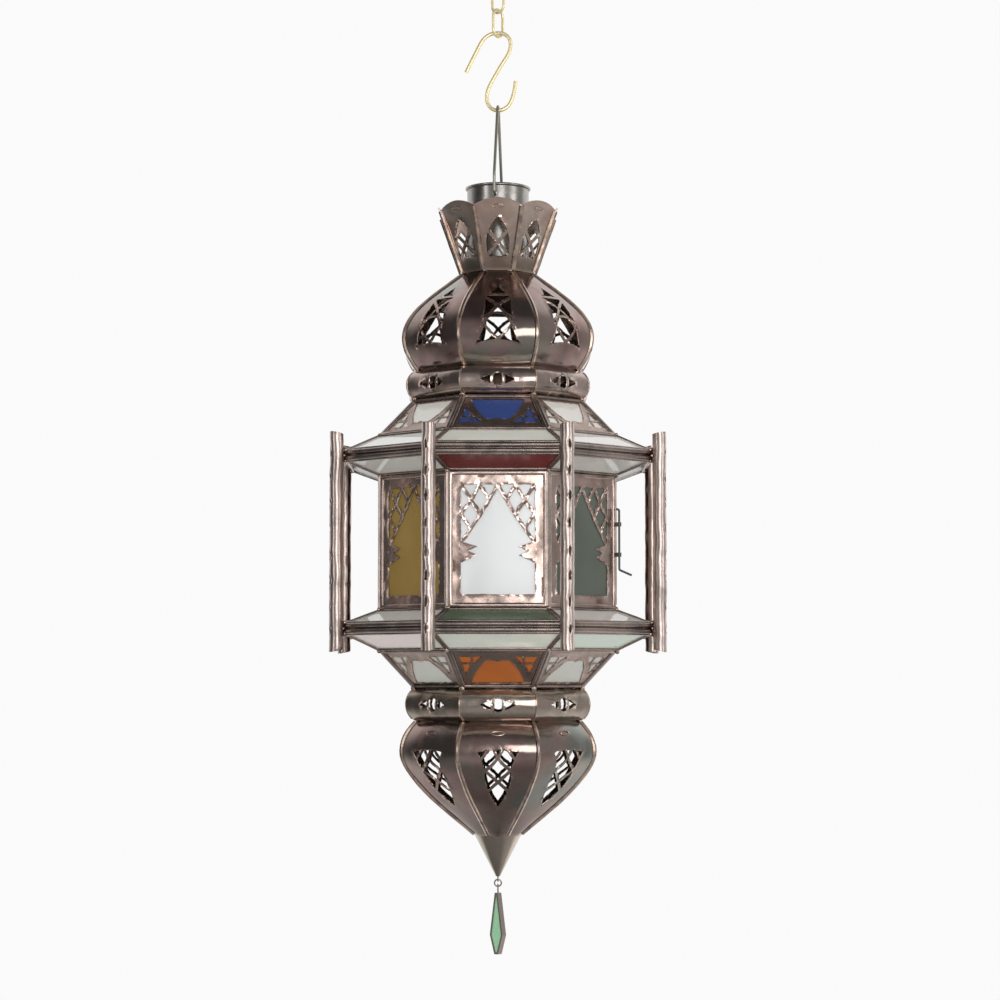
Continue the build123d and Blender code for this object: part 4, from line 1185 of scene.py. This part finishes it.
# The drum and door cames take the lighter copy of the came strip, a painted highlight.
all_round(came_frame("drum", drum, CAME), "drum_cames", drum_came_highlight, "came_metal", "drum_frames",
          copies=SIDES - 1, first=DOOR_FACE + 1, dent=0.16, dent_width=10, seed=27)
all_round(came_frame("door", drum, CAME, DOOR_GAP, DOOR_TRIM), "door_cames", drum_came_highlight, "came_metal",
          "door_frame", body="door", copies=1, first=DOOR_FACE, dent=0.12, dent_width=10, seed=28)

# %% [markdown]
# ## Panes of the eaves and soffits
# The strips on the eaves and soffits are narrow, so these panes are drawn again a little wider than the
# solids, to reach under the strips all round. A pane is a plain slab. The soffits change colour from face
# to face, so the table says for each colour how many panes there are, on which face they start, and how
# many faces lie from one to the next.

# %% Panes of the eaves and soffits
PANE_INSET = 1.4
PANE_DEPTH = 0.7
PANE_THICKNESS = 1.6


def pane_slab(name, panel):
    """A sheet of glass behind a panel's strips."""
    points = [panel.point(u, v, -depth) for depth in (PANE_DEPTH, PANE_DEPTH + PANE_THICKNESS)
              for u, v in panel.corners(PANE_INSET)]
    sides = [(k, 4 + k, 4 + (k + 1) % 4, (k + 1) % 4) for k in range(4)]
    return add_object(name + " pattern", points, [(0, 1, 2, 3), (7, 6, 5, 4), *sides])


PANE_FACES = {
    # node: (slot, copies, first face, faces from one to the next)
    "upper_eave_panes": ("glass_clear", 8, 0, 1), "lower_eave_panes": ("glass_clear", 8, 0, 1),
    "upper_soffit_panes_clear": ("glass_clear", 4, 1, 2), "lower_soffit_panes_clear": ("glass_clear", 4, 1, 2),
    "upper_soffit_panes_red": ("glass_red", 2, 0, 4), "upper_soffit_panes_green": ("glass_green", 2, 2, 4),
    "lower_soffit_panes_green": ("glass_green", 2, 0, 4), "lower_soffit_panes_red": ("glass_red", 2, 2, 4),
}
for node, (slot, copies, first, every) in PANE_FACES.items():
    slab = pane_slab(node, panels["_".join(node.split("_")[:2])])
    all_round(slab, node + "_wide", eave_panes.get(node, glass[slot]), slot, node, copies=copies, first=first,
              every=every)

# %% [markdown]
# ## Rims
# The rims are the widest lines of the body, and each carries two large half-round ribs. One side is a
# section drawn out along the face and cut at the mitre. Its ends are closed, so each side is a solid.

# %% Rims
RIM_RIBS = ((58.6, 62.5), (62.7, 66.6))
RIM_RISE = 1.9
RIM_DEPTH = 4.0
RIM_BACK = (64.4, 60.8)


def rim(level, upside, seed, steps=12):
    """One side of a rim: two half-round ribs on a bar, closed at its mitred ends."""
    face = RIM_TOP[0] * COS_HALF
    section = []
    for low, high in RIM_RIBS:
        middle, half = (low + high) / 2, (high - low) / 2
        section += [(face + RIM_RISE * math.sin(a), middle - half * math.cos(a))
                    for a in np.linspace(0, math.pi, 7)]
    section += [(face - RIM_DEPTH, z) for z in RIM_BACK]
    points = [place((2 * k / steps - 1) * r * TAN_HALF, -r, z * upside)
              for r, z in section for k in range(steps + 1)]
    row = steps + 1
    count = len(section)
    faces = [(i * row + k, i * row + k + 1, (i + 1) % count * row + k + 1, (i + 1) % count * row + k)
             for i in range(count) for k in range(steps)]
    faces += [[i * row for i in range(count)], [i * row + steps for i in reversed(range(count))]]
    bars = add_object(level + "_rim pattern", points, faces)
    mesh = bmesh.new()
    mesh.from_mesh(bars.data)
    bmesh.ops.recalc_face_normals(mesh, faces=mesh.faces[:])
    mesh.to_mesh(bars.data)
    mesh.free()
    all_round(bars, level + "_rim", came_metal, "came_metal", level + "_rim_bars", dent=0.25, dent_width=14,
              seed=seed)


rim("upper", upside=1, seed=30)
rim("lower", upside=-1, seed=31)

# %% [markdown]
# ## Pillars
# A pillar is a strip of sheet with a row of chisel cuts along its middle, rolled into a tube that stays
# open at the back. The strip is drawn flat like the other sheets and then rolled. Its ends were snipped at
# a slant, and the hammer left it uneven, so its dents are the deepest on the lantern.

# %% Pillars
PILLAR_AXIS = 126.3
PILLAR_ROUND = 5.0
PILLAR_HALF = 78.6
PILLAR_SLANT = 0.012
PILLAR_OPEN = math.radians(35)
SLOTS = 8
SLOT_PITCH = 18.2


def on_pillar(u, v, w):
    """Rolls the strip round the pillar's axis; the outermost line is a little longer than the back."""
    turn = u / PILLAR_ROUND
    out = PILLAR_ROUND + w
    longer = 1 + PILLAR_SLANT * math.cos(turn)
    return place(out * math.sin(turn), -PILLAR_AXIS - out * math.cos(turn), v * longer)


def chisel_cut(middle, seed):
    """A pointed slot with an uneven edge."""
    cut = [(0.1, -3.9), (0.9, -2.2), (1.15, 0.8), (0.5, 3.7), (-0.4, 3.5), (-1.1, 0.9), (-0.85, -2.3)]
    uneven = [0.9 + 0.5 * noise.noise(Vector((7.3 * seed, 3.1 * k, 0.5))) for k in range(len(cut))]
    return [(u * grow, middle + v * grow) for (u, v), grow in zip(cut, uneven)]


half = PILLAR_ROUND * (math.pi - PILLAR_OPEN)
strip = [(-half, -PILLAR_HALF), (half, -PILLAR_HALF), (half, PILLAR_HALF), (-half, PILLAR_HALF)]
cuts = [chisel_cut((k - (SLOTS - 1) / 2) * SLOT_PITCH, k + 1) for k in range(SLOTS)]
pillar_sheet = pierced_sheet("pillars", strip, cuts, [], on_pillar, cell=2.0, burr=-0.5)
all_round(pillar_sheet, "pillars", pillar_metal, "pillar_metal", "corner_pillars", first=0.5, dent=0.85,
          dent_width=13, seed=33)

# %% [markdown]
# ## Seams and solder
# Where two sheets meet, one was folded over the other and soldered, which leaves a raised seam with heat
# colours. A second tree turns a line of points into a bead, and a third sets little drops of solder on
# points.

# %% Trees for beads and drops
BEAD_SIDES = 8
DROP_LEAST, DROP_MOST = (0.7, 0.7, 0.7), (1.3, 1.3, 1.3)
bead_tree, add, given, result = node_tree("bead along a line", [("Radius", "Float")])
line = add("GeometryNodeMeshToCurve", Mesh=given["Geometry"])
section = add("GeometryNodeCurvePrimitiveCircle", Resolution=BEAD_SIDES, Radius=given["Radius"])
bead = add("GeometryNodeCurveToMesh", Curve=line.outputs[0],
           **{"Profile Curve": section.outputs[0], "Fill Caps": True})
bead_tree.links.new(bead.outputs[0], result["Geometry"])

drop_tree, add, given, result = node_tree("drops on points", [("Radius", "Float"), ("Seed", "Int")])
drop = add("GeometryNodeMeshIcoSphere", Radius=given["Radius"], Subdivisions=3)
grown = add("FunctionNodeRandomValue", None, [("data_type", "FLOAT_VECTOR")], _0=DROP_LEAST, _1=DROP_MOST,
            Seed=given["Seed"])
drops = add("GeometryNodeInstanceOnPoints", Points=given["Geometry"], Instance=drop.outputs[0],
            Scale=grown.outputs[0])
ready = add("GeometryNodeRealizeInstances", Geometry=drops.outputs[0])
drop_tree.links.new(ready.outputs[0], result["Geometry"])
print("bead tree has", len(bead_tree.nodes), "nodes, drop tree", len(drop_tree.nodes))

# %% [markdown]
# ## Seams and posts
# A seam runs up every corner of the crown, the domes and the ring bands, and a post up the corners of the
# drum. All of them are beads along a line of points that follows the corner, so a table of lines, ends and
# radii is enough. The two corners beside the door have no post, so that it can swing.

# %% Seams


def bead_pattern(name, points, radius, closed=False):
    """A bead along a line of frame points; the radius is in millimetres."""
    count = len(points)
    edges = [(k, (k + 1) % count) for k in range(count if closed else count - 1)]
    pattern = add_object(name + " pattern", points, [], edges)
    use_tree(pattern, bead_tree, Radius=radius * MM)
    return pattern


def corner_line(line, low, high, proud, steps=24):
    """Points up the corner beside the front face, where two sheets meet."""
    heights = [low + (high - low) * k / steps for k in range(steps + 1)]
    return [place((line(z) + proud) * SIN_HALF, -(line(z) + proud) * COS_HALF, z) for z in heights]


def petal_line(z):
    """Corner radius of the crown at a height."""
    (wide_top, top), (wide_foot, foot) = CROWN_TOP, CROWN_FOOT
    return wide_foot + (wide_top - wide_foot) * (z - foot) / (top - foot)


SEAMS = {
    # name: (line of radii, lowest and highest point, how far proud, radius of the bead)
    "upper_dome_seams": (upper_dome, 127.5, 199.5, -0.5, 1.8),
    "lower_dome_seams": (lower_dome, -211.5, -130.5, -0.5, 1.8),
    "petal_seams": (petal_line, 202.4, 246.6, -0.1, 2.0),
    "upper_ring_seams": (bulge_line(*UPPER_RING), 107.0, 125.0, -0.45, 0.8),
    "lower_ring_seams": (bulge_line(*LOWER_RING), -127.6, -107.2, -0.45, 0.8),
}
for seed, (name, (*course, radius)) in enumerate(SEAMS.items()):
    all_round(bead_pattern(name, corner_line(*course), radius), name, seam_metal, "came_metal", dent=0.35,
              dent_width=11, seed=40 + seed)

# %% Posts on the corners of the drum
POST_RADIUS = 92.6
POST_HALF = 48
POST_BEAD = 1.7
post = corner_line(lambda z: POST_RADIUS, -POST_HALF, POST_HALF, 0, 20)
all_round(bead_pattern("posts", post, POST_BEAD), "drum_posts", came_metal, "came_metal", copies=SIDES - 2,
          first=DOOR_FACE + 1, dent=0.2, dent_width=12, seed=46)

# %% [markdown]
# ## Drops of solder
# At every corner of the tiers the joint is closed with a drop of solder, and no two drops are alike. The
# tree sets a small ball of its own random size on each corner, and the dents of the copies press each into
# its own form.

# %% Drops of solder on the corners
DROP_RADIUS = 1.9
corner_spots = [place(r * SIN_HALF, -r * COS_HALF, z * up) for up in (1, -1)
                for r, z in (ROOF_TOP, ROOF_FOOT, RIM_TOP, RIM_FOOT, DRUM_TOP)]
spots = add_object("drops pattern", corner_spots, [])
use_tree(spots, drop_tree, Radius=DROP_RADIUS * MM, Seed=4)
all_round(spots, "solder_drops", seam_metal, "came_metal", dent=0.9, dent_width=6, seed=47)

# %% [markdown]
# ## Stitches
# Small folded tabs hold the sheets to each other, and from outside each shows as a narrow oval ring. A ring
# is a closed bead, laid by the same function as the sheet that it sits on, so it follows that sheet's
# curve.

# %% Stitches
STITCH_PROUD = 0.15
STITCH_BEAD = 0.4
STITCH_POINTS = 20


def stitch(lay, v, long, tall):
    """An oval on the middle line of a sheet, at a height v."""
    turns = [2 * math.pi * k / STITCH_POINTS for k in range(STITCH_POINTS)]
    return [lay(long / 2 * math.cos(t), v + tall / 2 * math.sin(t), STITCH_PROUD) for t in turns]


stitches = {
    "petal_stitches": stitch(on_petal, tip - 0.8, 8.5, 2.6),
    "upper_gore_stitches": stitch(on_gore(upper_dome), 131.0, 8.5, 0.9),
    "lower_gore_stitches": stitch(on_gore(lower_dome), -138.5, 9.0, 2.6),
}
for name, points in stitches.items():
    all_round(bead_pattern(name, points, STITCH_BEAD, closed=True), name, seam_metal, "came_metal", dent=0.45,
              dent_width=20, seed=5)

# %% [markdown]
